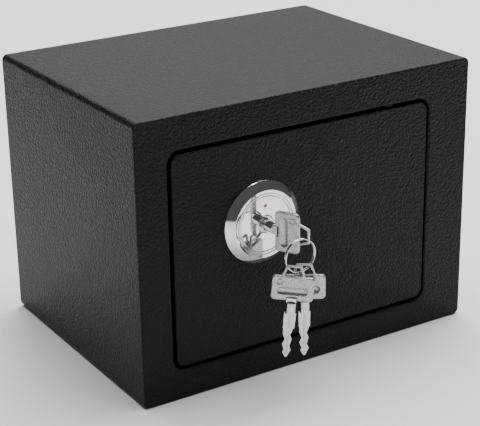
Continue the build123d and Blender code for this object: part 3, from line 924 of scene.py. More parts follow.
@dataclass
class GeometryTree:
    """A geometry node tree with named inputs that ends in a finished mesh."""

    name: str
    tree: bpy.types.NodeTree = field(init=False)
    helper: NodeTree = field(init=False)
    start: bpy.types.Node = field(init=False)
    end: bpy.types.Node = field(init=False)
    keys: dict[str, str] = field(default_factory=dict)

    def __post_init__(self) -> None:
        """Makes the tree with its geometry sockets."""
        self.tree = bpy.data.node_groups.new(self.name, "GeometryNodeTree")
        self.tree.interface.new_socket("Geometry", in_out="INPUT",
                                       socket_type="NodeSocketGeometry")
        self.tree.interface.new_socket("Geometry", in_out="OUTPUT",
                                       socket_type="NodeSocketGeometry")
        self.helper = NodeTree(self.tree)
        self.start = self.helper.add("NodeGroupInput")
        self.end = self.helper.add("NodeGroupOutput")

    def named_input(self, name: str, kind: str) -> bpy.types.NodeSocket:
        """Adds a named input and returns its socket inside the tree."""
        item = self.tree.interface.new_socket(name, in_out="INPUT", socket_type=kind)
        self.keys[name] = item.identifier
        return self.start.outputs[name]

    def close(self, geometry: bpy.types.NodeSocket,
              material: bpy.types.NodeSocket) -> None:
        """Ends the tree with Realize Instances and Set Material."""
        realize = self.helper.add("GeometryNodeRealizeInstances")
        paint = self.helper.add("GeometryNodeSetMaterial")
        self.helper.link(geometry, realize.inputs["Geometry"])
        self.helper.link(realize.outputs["Geometry"], paint.inputs["Geometry"])
        self.helper.link(material, paint.inputs["Material"])
        self.helper.link(paint.outputs["Geometry"], self.end.inputs["Geometry"])

    def run(self, name: str, values: dict[str, object]) -> bpy.types.Object:
        """Evaluates the tree once and keeps the result as a plain mesh.

        Args:
            name: the new piece's name.
            values: the tree's named inputs.

        Returns:
            The piece.
        """
        obj = link(bpy.data.objects.new(name, bpy.data.meshes.new(name)))
        modifier = obj.modifiers.new(self.name, "NODES")
        modifier.node_group = self.tree
        for key, value in values.items():
            modifier[self.keys[key]] = value
        bake_modifiers(obj)
        return obj


def build_row_tree() -> GeometryTree:
    """Tree that sets copies of one fastener in a row."""
    made = GeometryTree("fastener_row")
    helper = made.helper
    source = made.named_input("Source", "NodeSocketObject")
    count = made.named_input("Count", "NodeSocketInt")
    first = made.named_input("First", "NodeSocketVector")
    step = made.named_input("Step", "NodeSocketVector")
    material = made.named_input("Material", "NodeSocketMaterial")
    row = helper.add("GeometryNodeMeshLine", mode="OFFSET")
    helper.link(count, row.inputs["Count"])
    helper.link(first, row.inputs["Start Location"])
    helper.link(step, row.inputs["Offset"])
    info = helper.add("GeometryNodeObjectInfo")
    helper.link(source, info.inputs["Object"])
    copies = helper.add("GeometryNodeInstanceOnPoints")
    helper.link(row.outputs["Mesh"], copies.inputs["Points"])
    helper.link(info.outputs["Geometry"], copies.inputs["Instance"])
    made.close(copies.outputs["Instances"], material)
    return made


def build_split_ring_tree() -> GeometryTree:
    """Tree that sweeps spring wire along two turns that lie against each other."""
    made = GeometryTree("split_ring_wire")
    helper = made.helper
    centre = made.named_input("Centre", "NodeSocketVector")
    radius = made.named_input("Radius", "NodeSocketFloat")
    wire = made.named_input("Wire", "NodeSocketFloat")
    lay = made.named_input("Lay", "NodeSocketFloat")
    begin = made.named_input("Begin", "NodeSocketFloat")
    turns = made.named_input("Turns", "NodeSocketFloat")
    material = made.named_input("Material", "NodeSocketMaterial")
    line = helper.add("GeometryNodeCurvePrimitiveLine")
    line.inputs["End"].default_value = (1.0, 0.0, 0.0)
    fine = helper.add("GeometryNodeResampleCurve", mode="COUNT")
    fine.inputs["Count"].default_value = 420
    helper.link(line.outputs["Curve"], fine.inputs["Curve"])
    share = helper.add("GeometryNodeSplineParameter").outputs["Factor"]
    turn = helper.math("MULTIPLY", helper.math("MULTIPLY", share, turns), 2 * math.pi)
    turn = helper.math("ADD", turn, begin)
    ramp = helper.add("ShaderNodeMapRange", interpolation_type="SMOOTHSTEP")
    helper.link(share, ramp.inputs["Value"])
    for key, number in (("From Min", 0.455), ("From Max", 0.545),
                        ("To Min", -1.0), ("To Max", 1.0)):
        ramp.inputs[key].default_value = number
    place = helper.add("ShaderNodeCombineXYZ")
    helper.link(helper.math("MULTIPLY", helper.math("COSINE", turn), radius),
                place.inputs["X"])
    helper.link(helper.math("MULTIPLY", ramp.outputs["Result"], lay), place.inputs["Y"])
    helper.link(helper.math("MULTIPLY", helper.math("SINE", turn), radius),
                place.inputs["Z"])
    shift = helper.add("ShaderNodeVectorMath", operation="ADD")
    helper.link(place.outputs["Vector"], shift.inputs[0])
    helper.link(centre, shift.inputs[1])
    bend = helper.add("GeometryNodeSetPosition")
    helper.link(fine.outputs["Curve"], bend.inputs["Geometry"])
    helper.link(shift.outputs["Vector"], bend.inputs["Position"])
    section = helper.add("GeometryNodeCurvePrimitiveCircle")
    section.inputs["Resolution"].default_value = 20
    helper.link(wire, section.inputs["Radius"])
    sweep = helper.add("GeometryNodeCurveToMesh")
    sweep.inputs["Fill Caps"].default_value = True
    helper.link(bend.outputs["Geometry"], sweep.inputs["Curve"])
    helper.link(section.outputs["Curve"], sweep.inputs["Profile Curve"])
    made.close(sweep.outputs["Mesh"], material)
    return made


# ---------------------------------------------------------------------------
# Sub-assemblies
# ---------------------------------------------------------------------------


@dataclass
class Assembly:
    """Pieces that are built together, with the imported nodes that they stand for."""

    shop: Workshop
    made: list[tuple[bpy.types.Object, tuple[str, ...], Slot]] = field(
        default_factory=list, init=False)

    def keep(self, obj: bpy.types.Object, slot: Slot, *nodes: str) -> bpy.types.Object:
        """Notes a finished mesh, its finish and the nodes it stands for."""
        self.made.append((obj, nodes, slot))
        return obj

    def dress(self) -> None:
        """Gives every piece its finish and its rigid body."""
        for obj, nodes, slot in self.made:
            self.shop.adopt(obj, nodes, slot)


def upright(across: float, up: float, level: float) -> Point:
    """Stands a flat drawing up, facing the front."""
    return (across, level, up)


def lying(across: float, along: float, level: float) -> Point:
    """Lays a flat drawing on the floor."""
    return (across, along, level)


@dataclass
class Cabinet(Assembly):
    """Folded body, rear panel, front frame and felt mat."""

    width: float = 230 * MM
    depth: float = 170 * MM
    height: float = 170 * MM
    sheet: float = 1.2 * MM
    bend: float = 3.5 * MM
    face_edge: float = 1.0 * MM
    opening_low: Pair = (-95 * MM, 18 * MM)
    opening_high: Pair = (85 * MM, 150 * MM)
    opening_radius: float = 8 * MM
    mouth_bend: float = 1.5 * MM
    flange: float = 12 * MM
    fixing_x: float = 55 * MM
    fixing_radius: float = 4 * MM
    rear_fixing_z: float = 95 * MM
    mat_size: Pair = (221.6 * MM, 146 * MM)
    mat_shift: float = 6 * MM
    mat_thickness: float = 2 * MM
    pivot_radius: float = 2.05 * MM
    corner_steps: int = 14
    edge_steps: int = 8
    cut_edge: float = 0.12 * MM

    def outer(self, inset: float) -> list[Pair]:
        """Outline of the body, drawn in by a distance."""
        half = self.width / 2
        return rounded_loop((-half + inset, inset), (half - inset, self.height - inset),
                            self.bend - inset, self.corner_steps)

    def mouth(self, grow: float) -> list[Pair]:
        """Outline of the door opening, grown by a distance."""
        low, high = self.opening_low, self.opening_high
        return rounded_loop((low[0] - grow, low[1] - grow), (high[0] + grow, high[1] + grow),
                            self.opening_radius + grow, self.corner_steps)

    def build(self) -> None:
        """Builds the four pieces."""
        self.build_wrap()
        self.build_rear_panel()
        self.build_front_frame()
        self.build_mat()

    def build_wrap(self) -> None:
        """Folded sheet that makes floor, sides and top."""
        front, back = -self.depth / 2 + self.sheet, self.depth / 2
        edge = self.cut_edge
        section = [(0.0, front), (0.0, back), (self.sheet, back), (self.sheet, front)]
        loops = [[upright(a, b, y) for a, b in self.outer(inset)]
                 for inset, y in soften(section, edge, 3)]
        verts, faces = skin(loops, ring=True)
        wrap = mesh_piece("steel_body", verts, faces)
        drill(wrap, [self.pillar(sign * self.fixing_x, 0.0, 0.0) for sign in (-1, 1)])
        self.keep(wrap, Slot.COAT, "body_wrap")

    def pillar(self, x: float, y: float, z: float, radius: Optional[float] = None,
               half: float = 0.005) -> bpy.types.Object:
        """Upright round cutter."""
        size = radius or self.fixing_radius
        outline = [(0.0, z - half), (size, z - half), (size, z + half), (0.0, z + half)]
        return turned("cutter", (x, y, z), Turning.ALONG_Z, outline, segments=64)

    def build_rear_panel(self) -> None:
        """Flat back with its two fixing holes."""
        half, sheet = self.width / 2, self.sheet
        holes = [round_hole(sign * self.fixing_x, self.rear_fixing_z, self.fixing_radius)
                 for sign in (-1, 1)]
        panel = plate("rear_panel_sheet",
                      [rectangle((-half + sheet, sheet), (half - sheet, self.height - sheet),
                                 self.bend - sheet)] + holes,
                      self.depth / 2 - sheet, self.depth / 2, self.cut_edge, self.cut_edge,
                      upright)
        self.keep(panel, Slot.COAT, "rear_panel")

    def build_front_frame(self) -> None:
        """Front face with the opening's edge folded inwards."""
        front = -self.depth / 2
        rear, deep = front + self.sheet, front + self.flange
        rows: list[tuple[list[Pair], float]] = [(self.outer(0.0), rear)]
        rows += [(self.outer(self.face_edge * (1 - math.cos(turn))),
                  front + self.face_edge * (1 - math.sin(turn)))
                 for turn in quarter(self.edge_steps)]
        rows += [(self.mouth(self.mouth_bend * (1 - math.sin(turn))),
                  front + self.mouth_bend * (1 - math.cos(turn)))
                 for turn in quarter(self.edge_steps)]
        for grow, level in soften([(0.0, rear), (0.0, deep), (self.sheet, deep),
                                   (self.sheet, rear)], self.cut_edge, 3, closed=False)[1:]:
            rows.append((self.mouth(grow), level))
        loops = [[upright(a, b, y) for a, b in outline] for outline, y in rows]
        verts, faces = skin(loops, ring=True)
        frame = mesh_piece("front_frame_pressing", verts, faces)
        pin = self.shop.box("hinge_pin_upper")
        axis = (pin[0] + pin[1]) / 2
        drill(frame, [self.pillar(axis.x, axis.y, z, self.pivot_radius, 0.003)
                      for z in (self.opening_low[1] - self.sheet / 2,
                                self.opening_high[1] + self.sheet / 2)])
        self.keep(frame, Slot.COAT, "front_frame")

    def build_mat(self) -> None:
        """Felt mat with holes over the floor fixings."""
        half_x, half_y = self.mat_size[0] / 2, self.mat_size[1] / 2
        holes = [round_hole(sign * self.fixing_x, 0.0, self.fixing_radius + 1 * MM)
                 for sign in (-1, 1)]
        mat = plate("felt_mat",
                    [rectangle((-half_x, self.mat_shift - half_y),
                               (half_x, self.mat_shift + half_y), 4 * MM)] + holes,
                    self.sheet, self.sheet + self.mat_thickness, 0.15 * MM, 0.5 * MM, lying)
        self.keep(mat, Slot.FELT, "floor_mat")

    def dress(self) -> None:
        super().dress()


@dataclass
class Hinges(Assembly):
    """Concealed pivots above and below the door."""

    edge: float = 0.3 * MM
    head_radius: float = 3.4 * MM
    head_thickness: float = 1.5 * MM
    shank_radius: float = 2.0 * MM
    lead_in: float = 0.5 * MM
    washer_bore: float = 2.06 * MM
    washer_radius: float = 4 * MM

    def build(self) -> None:
        """Builds brackets, pins and washers."""
        for side in ("upper", "lower"):
            for leaf in ("frame", "door"):
                node = f"{leaf}_hinge_bracket_{side}"
                self.keep(self.shop.refined(node, f"hinge_bracket_{leaf}_{side}", self.edge),
                          Slot.INNER_COAT, node)
            # Pins and washers get the near-black steel: painted shade in the door gap.
            self.keep(self.build_pin(side), Slot.BLACK, f"hinge_pin_{side}")
            self.keep(self.build_washer(side), Slot.BLACK, f"hinge_washer_{side}")

    def build_pin(self, side: str) -> bpy.types.Object:
        """Headed pin with a lead-in on its tip."""
        low, high = self.shop.box(f"hinge_pin_{side}")
        middle = (low + high) / 2
        head, thick = self.head_radius, self.head_thickness
        shank, lead = self.shank_radius, self.lead_in
        if side == "upper":
            outline = [(0.0, low.z), (shank - lead, low.z), (shank, low.z + lead),
                       (shank, high.z - thick), (head, high.z - thick), (head, high.z),
                       (0.0, high.z)]
        else:
            outline = [(0.0, low.z), (head, low.z), (head, low.z + thick),
                       (shank, low.z + thick), (shank, high.z - lead),
                       (shank - lead, high.z), (0.0, high.z)]
        rounded = soften(outline, self.edge, 4, closed=False)
        return turned(f"pivot_pin_{side}", tuple(middle), Turning.ALONG_Z, rounded,
                      segments=64)

    def build_washer(self, side: str) -> bpy.types.Object:
        """Flat washer that carries the door."""
        low, high = self.shop.box(f"hinge_washer_{side}")
        middle = (low + high) / 2
        bore, rim = self.washer_bore, self.washer_radius
        outline = [(bore, low.z), (rim, low.z), (rim, high.z), (bore, high.z)]
        return turned(f"pivot_washer_{side}", tuple(middle), Turning.ALONG_Z, outline,
                      0.2 * MM, 64)


@dataclass
class Door(Assembly):
    """Thick door plate with the hole of the lock."""

    low: Pair = (-92.8 * MM, 20 * MM)
    high: Pair = (84 * MM, 148 * MM)
    front: float = -84.7 * MM
    rear: float = -81.7 * MM
    radius: float = 6 * MM
    front_edge: float = 0.9 * MM
    rear_edge: float = 0.2 * MM
    lock: Pair = (-35 * MM, 97 * MM)
    barrel_hole: float = 11.05 * MM

    def build(self) -> None:
        """Builds the plate."""
        door = plate("door_leaf",
                     [rectangle(self.low, self.high, self.radius, 14),
                      round_hole(*self.lock, self.barrel_hole, 96)],
                     self.front, self.rear, self.front_edge, self.rear_edge, upright, 6)
        self.keep(door, Slot.COAT, "door_plate")


@dataclass
class LockFront(Assembly):
    """Chromed rosette, mirror disc, indicator dot and the barrel behind them."""

    x: float = -35 * MM
    z: float = 97 * MM
    door_front: float = -84.7 * MM
    bezel_radius: float = 25 * MM
    bezel_height: float = 4.6 * MM
    rim: float = 20.5 * MM
    disc: float = 16.4 * MM
    barrel: float = 11.05 * MM
    bulge: float = 0.12 * MM
    rim_width: float = 1.9 * MM
    step_back: float = 0.15 * MM
    slit_depth: float = 1.3 * MM
    disc_front: float = 4.2 * MM
    disc_seat: float = 2.5 * MM
    disc_bore: float = 5.4 * MM
    dot: float = 1.1 * MM
    dot_up: float = 11 * MM
    dot_dome: float = 0.14 * MM
    washer_radius: float = 15.5 * MM
    flange_radius: float = 15 * MM
    flange_seat: float = 1.0 * MM
    thread_radius: float = 11 * MM
    thread_pitch: float = 1.0 * MM
    thread_depth: float = 0.28 * MM
    segments: int = 256

    def centre(self) -> Point:
        """Centre of the lock on the door's front."""
        return (self.x, self.door_front, self.z)

    def build(self) -> None:
        """Builds the round pieces and the nut."""
        self.build_bezel()
        self.build_disc()
        self.build_dot()
        self.build_barrel()
        self.keep(self.shop.refined("lock_nut", "lock_ring_nut", 0.25 * MM), Slot.ZINC,
                  "lock_nut")
        low, high = self.shop.box("lock_washer")
        washer = turned("lock_spring_washer", self.centre(), Turning.ALONG_Y,
                        [(self.barrel, low.y), (self.washer_radius, low.y),
                         (self.washer_radius, high.y), (self.barrel, high.y)],
                        0.2 * MM, 128)
        self.keep(washer, Slot.ZINC, "lock_washer")

    def build_bezel(self) -> None:
        """Rosette with a sloping flank, a flat rim and an inner step."""
        base, top = self.door_front, self.door_front - self.bezel_height
        rim, disc = self.rim, self.disc
        flank: list[Pair] = []
        foot, crown = (self.bezel_radius, base - 0.7 * MM), (rim, top + 0.1 * MM)
        steps = 10
        for step in range(steps + 1):
            share = step / steps
            lift = self.bulge * 4 * share * (1 - share)
            flank.append((foot[0] + (crown[0] - foot[0]) * share + lift * 0.64,
                          foot[1] + (crown[1] - foot[1]) * share - lift * 0.77))
        inner, slit = rim - self.rim_width, top + self.slit_depth
        ledge, seat = top + self.step_back, base - self.disc_seat
        outline = [(self.barrel, base), (self.bezel_radius, base)]
        outline += flank
        outline += [(rim - 0.25 * MM, top), (inner, top), (inner, slit),
                    (rim - 2.45 * MM, slit), (rim - 2.45 * MM, ledge),
                    (disc + 0.6 * MM, ledge), (disc + 0.6 * MM, slit),
                    (disc + 0.05 * MM, slit), (disc + 0.05 * MM, seat),
                    (disc - 1.3 * MM, seat), (disc - 1.3 * MM, base - self.flange_seat),
                    (self.barrel, base - self.flange_seat)]
        bezel = turned("lock_rosette", self.centre(), Turning.ALONG_Y, outline, 0.16 * MM,
                       self.segments, 40)
        self.keep(bezel, Slot.CHROME, "lock_bezel")

    def build_disc(self) -> None:
        """Polished disc with a hole for the plug and a seat for the dot."""
        front, rear = self.door_front - self.disc_front, self.door_front - self.disc_seat
        disc = turned("lock_disc", self.centre(), Turning.ALONG_Y,
                      [(self.disc_bore, rear), (self.disc, rear), (self.disc, front),
                       (self.disc_bore, front)], 0.16 * MM, self.segments, 40)
        seat = turned("cutter", (self.x, 0.0, self.z + self.dot_up), Turning.ALONG_Y,
                      [(0.0, front - 1 * MM), (self.dot, front - 1 * MM),
                       (self.dot, front + 0.6 * MM), (0.0, front + 0.6 * MM)], segments=48)
        drill(disc, [seat])
        self.keep(disc, Slot.DISC, "lock_face")

    def build_dot(self) -> None:
        """Slightly domed red dot."""
        seat, front = self.door_front - 3.6 * MM, self.door_front - 4.3 * MM
        size, dome = self.dot - 0.01 * MM, self.dot_dome
        outline: list[Pair] = [(0.0, seat), (size, seat)]
        outline += [(size * math.cos(turn), front + dome * (1 - math.sin(turn)))
                    for turn in quarter(6)]
        dot = turned("lock_dot", (self.x, 0.0, self.z + self.dot_up), Turning.ALONG_Y,
                     outline, 0.0, 48, 50)
        self.keep(dot, Slot.ENAMEL, "indicator_dot")

    def build_barrel(self) -> None:
        """Threaded barrel with its clamping flange."""
        rear = -75.0 * MM
        seat, flange = self.door_front - self.flange_seat, self.door_front - self.disc_seat
        radius, bore, mouth = self.thread_radius, 5.31 * MM, 6.56 * MM
        outline: list[Pair] = [(bore, rear), (radius - 0.4 * MM, rear)]
        pitch, depth = self.thread_pitch, self.thread_depth
        level = rear - 0.5 * MM
        while level - pitch > seat + 1.2 * MM:
            outline += [(radius, level - 0.1 * pitch), (radius, level - 0.3 * pitch),
                        (radius - depth, level - 0.6 * pitch),
                        (radius - depth, level - 0.75 * pitch)]
            level -= pitch
        outline += [(radius, seat), (self.flange_radius, seat), (self.flange_radius, flange),
                    (mouth, flange), (mouth, flange + 1.8 * MM), (bore, flange + 1.8 * MM)]
        barrel = turned("lock_barrel", self.centre(), Turning.ALONG_Y, outline, 0.06 * MM,
                        128, 50)
        self.keep(barrel, Slot.CASTING, "lock_body")


@dataclass
class LockPlug(Assembly):
    """Turning plug with the cam that drives the bolts."""

    edge: float = 0.12 * MM

    def build(self) -> None:
        """Builds plug, cam, pin, washer and screw."""
        for node, name, edge, slot in (
                ("lock_plug", "lock_cylinder_plug", self.edge, Slot.CASTING),
                ("lock_cam", "cam_lever", 0.2 * MM, Slot.ZINC),
                ("cam_pin", "cam_drive_pin", 0.15 * MM, Slot.STEEL),
                ("cam_washer", "cam_flat_washer", 0.12 * MM, Slot.ZINC),
                ("cam_screw", "cam_cross_screw", 0.1 * MM, Slot.ZINC)):
            self.keep(self.shop.refined(node, name, edge), slot, node)


@dataclass
class BoltWork(Assembly):
    """Carrier plate, bolts, rivets, guides, posts and guide screws."""

    row: Optional[GeometryTree] = None
    edge: float = 0.25 * MM
    screw_head: float = 4.5 * MM
    screw_shank: float = 1.25 * MM
    screw_head_height: float = 2.0 * MM
    cross_length: float = 4.4 * MM
    cross_width: float = 0.8 * MM
    cross_depth: float = 1.1 * MM

    def build(self) -> None:
        """Builds everything that slides or guides."""
        self.row = build_row_tree()
        self.keep(self.shop.refined("bolt_carrier", "bolt_carrier_plate", 0.15 * MM),
                  Slot.ZINC, "bolt_carrier")
        for side in ("upper", "lower"):
            self.keep(self.shop.refined(f"locking_bolt_{side}", f"round_bolt_{side}",
                                        self.edge), Slot.STEEL, f"locking_bolt_{side}")
            self.keep(self.shop.refined(f"bolt_guide_{side}", f"bolt_guide_angle_{side}",
                                        self.edge), Slot.ZINC, f"bolt_guide_{side}")
        self.keep(self.shop.refined("guide_posts", "guide_post_pair", 0.2 * MM), Slot.ZINC,
                  "guide_posts")
        self.build_rivets()
        self.build_screws()

    def repeat(self, source: bpy.types.Object, name: str, node: str,
               slot: Slot) -> bpy.types.Object:
        """Sets one fastener at the two ends of a node's box.

        Args:
            source: the fastener, built round the origin.
            name: the new piece's name.
            node: node whose two solids it stands for.
            slot: the finish.

        Returns:
            The row as one mesh.
        """
        low, high = self.shop.box(node)
        grown = Vector(source.dimensions) / 2
        first = Vector(((low.x + high.x) / 2, 0.0, low.z + grown.z))
        step = Vector((0.0, 0.0, high.z - low.z - 2 * grown.z))
        made = self.row.run(name, {
            "Source": source, "Count": 2, "First": tuple(first), "Step": tuple(step),
            "Material": self.shop.finishes.get(slot)})
        bpy.data.objects.remove(source)
        return self.keep(made, slot, node)

    def build_rivets(self) -> None:
        """Rivets with flat heads, filed flush with the bolts."""
        low, high = self.shop.box("bolt_rivets")
        radius = (high.x - low.x) / 2
        source = turned("rivet_source", (0.0, 0.0, 0.0), Turning.ALONG_Y, soften(
            [(0.0, low.y), (radius, low.y), (radius, high.y), (0.0, high.y)],
            0.2 * MM, 4, closed=False), segments=48)
        bpy.context.view_layer.update()
        self.repeat(source, "bolt_rivet_pair", "bolt_rivets", Slot.ZINC)

    def build_screws(self) -> None:
        """Cross-head screws that keep the carrier on its posts."""
        low, high = self.shop.box("guide_screws")
        head, shank = self.screw_head, self.screw_shank
        under = high.y - self.screw_head_height
        outline = soften([(0.0, low.y), (shank, low.y), (shank, under), (head, under),
                          (head, high.y), (0.0, high.y)], 0.5 * MM, 6, closed=False)
        source = turned("screw_source", (0.0, 0.0, 0.0), Turning.ALONG_Y, outline,
                        segments=96)
        drill(source, self.cross(high.y))
        bpy.context.view_layer.update()
        self.repeat(source, "guide_screw_pair", "guide_screws", Slot.ZINC)

    def cross(self, face: float) -> list[bpy.types.Object]:
        """Two crossed cutters with sloping ends, sunk into a screw's face."""
        length, width, depth = self.cross_length, self.cross_width, self.cross_depth
        made = []
        for swap in (False, True):
            corners: list[list[Point]] = []
            for level, shrink in ((face - depth, 0.55), (face + depth, 1.45)):
                half_l, half_w = length / 2 * shrink ** 0.5, width / 2
                loop = [(-half_l, -half_w), (half_l, -half_w), (half_l, half_w),
                        (-half_l, half_w)]
                corners.append([(a, level, b) if not swap else (b, level, a)
                                for a, b in loop])
            verts, faces = skin(corners, cap_first=True, cap_last=True)
            made.append(mesh_piece("cutter", verts, faces))
        return made


@dataclass(frozen=True)
class KeyPlace:
    """Where a key sits: its bow's centre, its fold pin and their directions."""

    bow: Point
    across: Point
    bow_face: Point
    pin: Point
    blade_face: Point

    def matrix(self, origin: Point, face: Point) -> Matrix:
        """Matrix that carries a piece's own axes to the scene's.

        Args:
            origin: the piece's origin in millimetres.
            face: the direction that its visible face looks in.

        Returns:
            The matrix, in metres.
        """
        side, out = Vector(self.across).normalized(), Vector(face).normalized()
        made = Matrix((side, out.cross(side), out)).transposed().to_4x4()
        made.translation = Vector(origin) * MM
        return made

    def bow_matrix(self) -> Matrix:
        """Matrix of the bow and of the fold pin."""
        return self.matrix(self.bow, self.bow_face)

    def blade_matrix(self) -> Matrix:
        """Matrix of the blade, with its origin on the fold pin."""
        return self.matrix(self.pin, self.blade_face)


FOLD = math.radians(28.0)
SPARE_FACE: Point = (-0.573576, -0.819152, 0.0)
KEY_PLACES: dict[str, KeyPlace] = {
    "key": KeyPlace((-31.9484, -106.639, 97.0), (0.0, 0.0, -1.0),
                    (-math.cos(FOLD), -math.sin(FOLD), 0.0),
                    (-35.0, -100.9, 97.0), (-1.0, 0.0, 0.0)),
    "spare_key_1": KeyPlace((-34.1398, -114.732, 66.5037), (0.815243, -0.570839, -0.097583),
                            SPARE_FACE, (-34.6594, -114.369, 60.0347), SPARE_FACE),
    "spare_key_2": KeyPlace((-26.6056, -115.292, 66.0146), (0.819152, -0.573576, 0.0),
                            SPARE_FACE, (-26.6056, -115.292, 59.5146), SPARE_FACE),
}
RIGHT_CUTS: tuple[Pair, ...] = ((8.2, 3.5), (18.0, 3.4), (18.3, 2.6), (20.2, 2.3),
                                (22.2, 1.4), (25.1, 2.5), (29.3, 1.6), (31.9, 2.6),
                                (36.5, 0.55))
LEFT_CUTS: tuple[Pair, ...] = ((36.5, 0.55), (33.4, 2.3), (31.5, 1.8), (28.2, 3.0),
                               (25.4, 1.7), (21.7, 3.1), (18.6, 3.1), (18.0, 3.4),
                               (8.2, 3.5))


@dataclass
class FoldingKey(Assembly):
    """One folding key: cast bow, pin and flat blade."""

    prefix: str = "key"
    length: float = 24 * MM
    width: float = 15 * MM
    thickness: float = 2.8 * MM
    corner: float = 2.4 * MM
    rim: float = 0.85 * MM
    loop_rise: float = 6.4 * MM
    loop_base: float = 6.6 * MM
    loop_top: float = 4.4 * MM
    loop_bar: float = 1.3 * MM
    loop_thickness: float = 1.4 * MM
    notch_width: float = 6.4 * MM
    notch_depth: float = 2.6 * MM
    groove_length: float = 18 * MM
    groove_width: float = 4.9 * MM
    groove_depth: float = 1.0 * MM
    groove_drop: float = -1.6 * MM
    eye: Pair = (-7.5 * MM, 3.9 * MM)
    eye_radius: float = 1.6 * MM
    eye_wire: float = 0.48 * MM
    bow_edge: float = 0.14 * MM
    blade_thickness: float = 2.3 * MM
    blade_edge: float = 0.5 * MM
    blade_groove: float = 0.55 * MM
    line_rise: float = 0.15 * MM
    line_span: Pair = (-33.8 * MM, -9.6 * MM)
    tongue_low: Pair = (-2.9 * MM, -2.9 * MM)
    tongue_high: Pair = (2.9 * MM, 0.6 * MM)
    pin_hole: float = 0.61 * MM
    neck: float = 3.0 * MM
    neck_span: Pair = (-9.4 * MM, -2.1 * MM)
    pin_radius: float = 0.55 * MM
    pin_length: float = 11.6 * MM
    pin_inset: float = 1.0 * MM

    def build(self) -> None:
        """Builds bow, fold pin and blade."""
        self.keep(self.build_bow(), Slot.SATIN, f"{self.prefix}_bow")
        self.keep(self.build_pin(), Slot.NICKEL, f"{self.prefix}_fold_pin")
        self.keep(self.build_blade(), Slot.NICKEL, f"{self.prefix}_blade")

    def build_pin(self) -> bpy.types.Object:
        """Fold pin along the bow's near edge."""
        half, radius = self.pin_length / 2, self.pin_radius
        outline = soften([(0.0, -half), (radius, -half), (radius, half), (0.0, half)],
                         0.15 * MM, 3, closed=False)
        pin = turned(f"{self.prefix}_pin", (0.0, self.pin_inset - self.width / 2, 0.0),
                     Turning.ALONG_X, outline, segments=32)
        pin.data.transform(KEY_PLACES[self.prefix].bow_matrix())
        return pin

    def build_blade(self) -> bpy.types.Object:
        """Flat double-edged blade with a round neck and the tongue of the fold pin."""
        corners = [(w * MM, -d * MM) for d, w in reversed(RIGHT_CUTS)]
        corners += [(-w * MM, -d * MM) for d, w in reversed(LEFT_CUTS)]
        half = self.blade_thickness / 2
        blade = plate(f"{self.prefix}_steel_blade", [polygon(corners, 0.45 * MM)],
                      -half, half, self.blade_edge, self.blade_edge, self.flat, 4)
        low, high = self.neck_span
        neck = turned("neck", (0.0, 0.0, 0.0), Turning.ALONG_Y,
                      soften([(0.0, low), (self.neck, low), (self.neck, high), (0.0, high)],
                             0.5 * MM, 6, closed=False), segments=64)
        tongue = plate("tongue", [rectangle(self.tongue_low, self.tongue_high, 1.0 * MM, 6)],
                       -1.0 * MM, 1.0 * MM, 0.15 * MM, 0.15 * MM, self.flat, 3)
        drill(blade, [neck, tongue], "UNION")
        bore, reach = self.pin_hole, 4 * MM
        hole = turned("cutter", (0.0, 0.0, 0.0), Turning.ALONG_X,
                      [(0.0, -reach), (bore, -reach), (bore, reach), (0.0, reach)],
                      segments=32)
        drill(blade, [hole] + [self.line_cutter(side * (half + self.line_rise))
                               for side in (-1, 1)])
        blade.data.transform(KEY_PLACES[self.prefix].blade_matrix())
        return blade

    def line_cutter(self, level: float) -> bpy.types.Object:
        """Slim round-ended trough along the blade."""
        return trough((0.0, 0.0, level), Turning.ALONG_Y, self.blade_groove,
                      self.line_span, 8, 24)

    def build_bow(self) -> bpy.types.Object:
        """Casting with a loop, a notch, two grooves and two ringed eyes."""
        half_l, half_w, half_t = self.length / 2, self.width / 2, self.thickness / 2
        bow = plate(f"{self.prefix}_head_casting",
                    [rectangle((-half_l, -half_w), (half_l, half_w), self.corner)],
                    -half_t, half_t, self.rim, self.rim, self.flat, 6)
        drill(bow, [self.build_loop()], "UNION")
        foot, top = -half_w - 1 * MM, -half_w + self.notch_depth
        half_n = self.notch_width / 2
        notch = plate("cutter", [polygon([(-half_n, foot), (half_n, foot), (half_n, top),
                                          (-half_n, top)], 0.6 * MM)],
                      -2 * half_t, 2 * half_t, 0.01 * MM, 0.01 * MM, self.flat, 1)
        tools = [notch]
        for side in (-1, 1):
            tools += [self.groove_cutter(side * half_t), self.eye_cutter(side * half_t)]
        drill(bow, tools)
        round_edges(bow, self.bow_edge, 2, 32.0)
        bake_modifiers(bow, 42.0)
        bow.data.transform(KEY_PLACES[self.prefix].bow_matrix())
        return bow

    @staticmethod
    def flat(across: float, along: float, level: float) -> Point:
        """Keeps a drawing in the bow's own axes."""
        return (across, along, level)

    def build_loop(self) -> bpy.types.Object:
        """Open loop that the ring passes through."""
        edge, bar = self.width / 2, self.loop_bar
        base, top, rise = self.loop_base, self.loop_top, self.loop_rise
        outer = [(-base, edge - 1 * MM), (base, edge - 1 * MM), (base, edge),
                 (top, edge + rise), (-top, edge + rise), (-base, edge)]
        inner = [(-base + bar, edge), (base - bar, edge), (top - bar, edge + rise - bar),
                 (-top + bar, edge + rise - bar)]
        half = self.loop_thickness / 2
        return plate("loop", [polygon(outer, 0.8 * MM), polygon(inner, 0.7 * MM, True)],
                     -half, half, 0.42 * MM, 0.42 * MM, self.flat, 5)

    def groove_cutter(self, level: float) -> bpy.types.Object:
        """Round-ended trough sunk into one face."""
        half, deep = self.groove_width / 2, self.groove_depth
        radius = (half * half + deep * deep) / (2 * deep)
        way = 1.0 if level > 0 else -1.0
        height = level + way * (radius - deep)
        reach = self.groove_length / 2 - half
        return trough((0.0, self.groove_drop, height), Turning.ALONG_X, radius,
                      (-reach, reach), 14, 72)

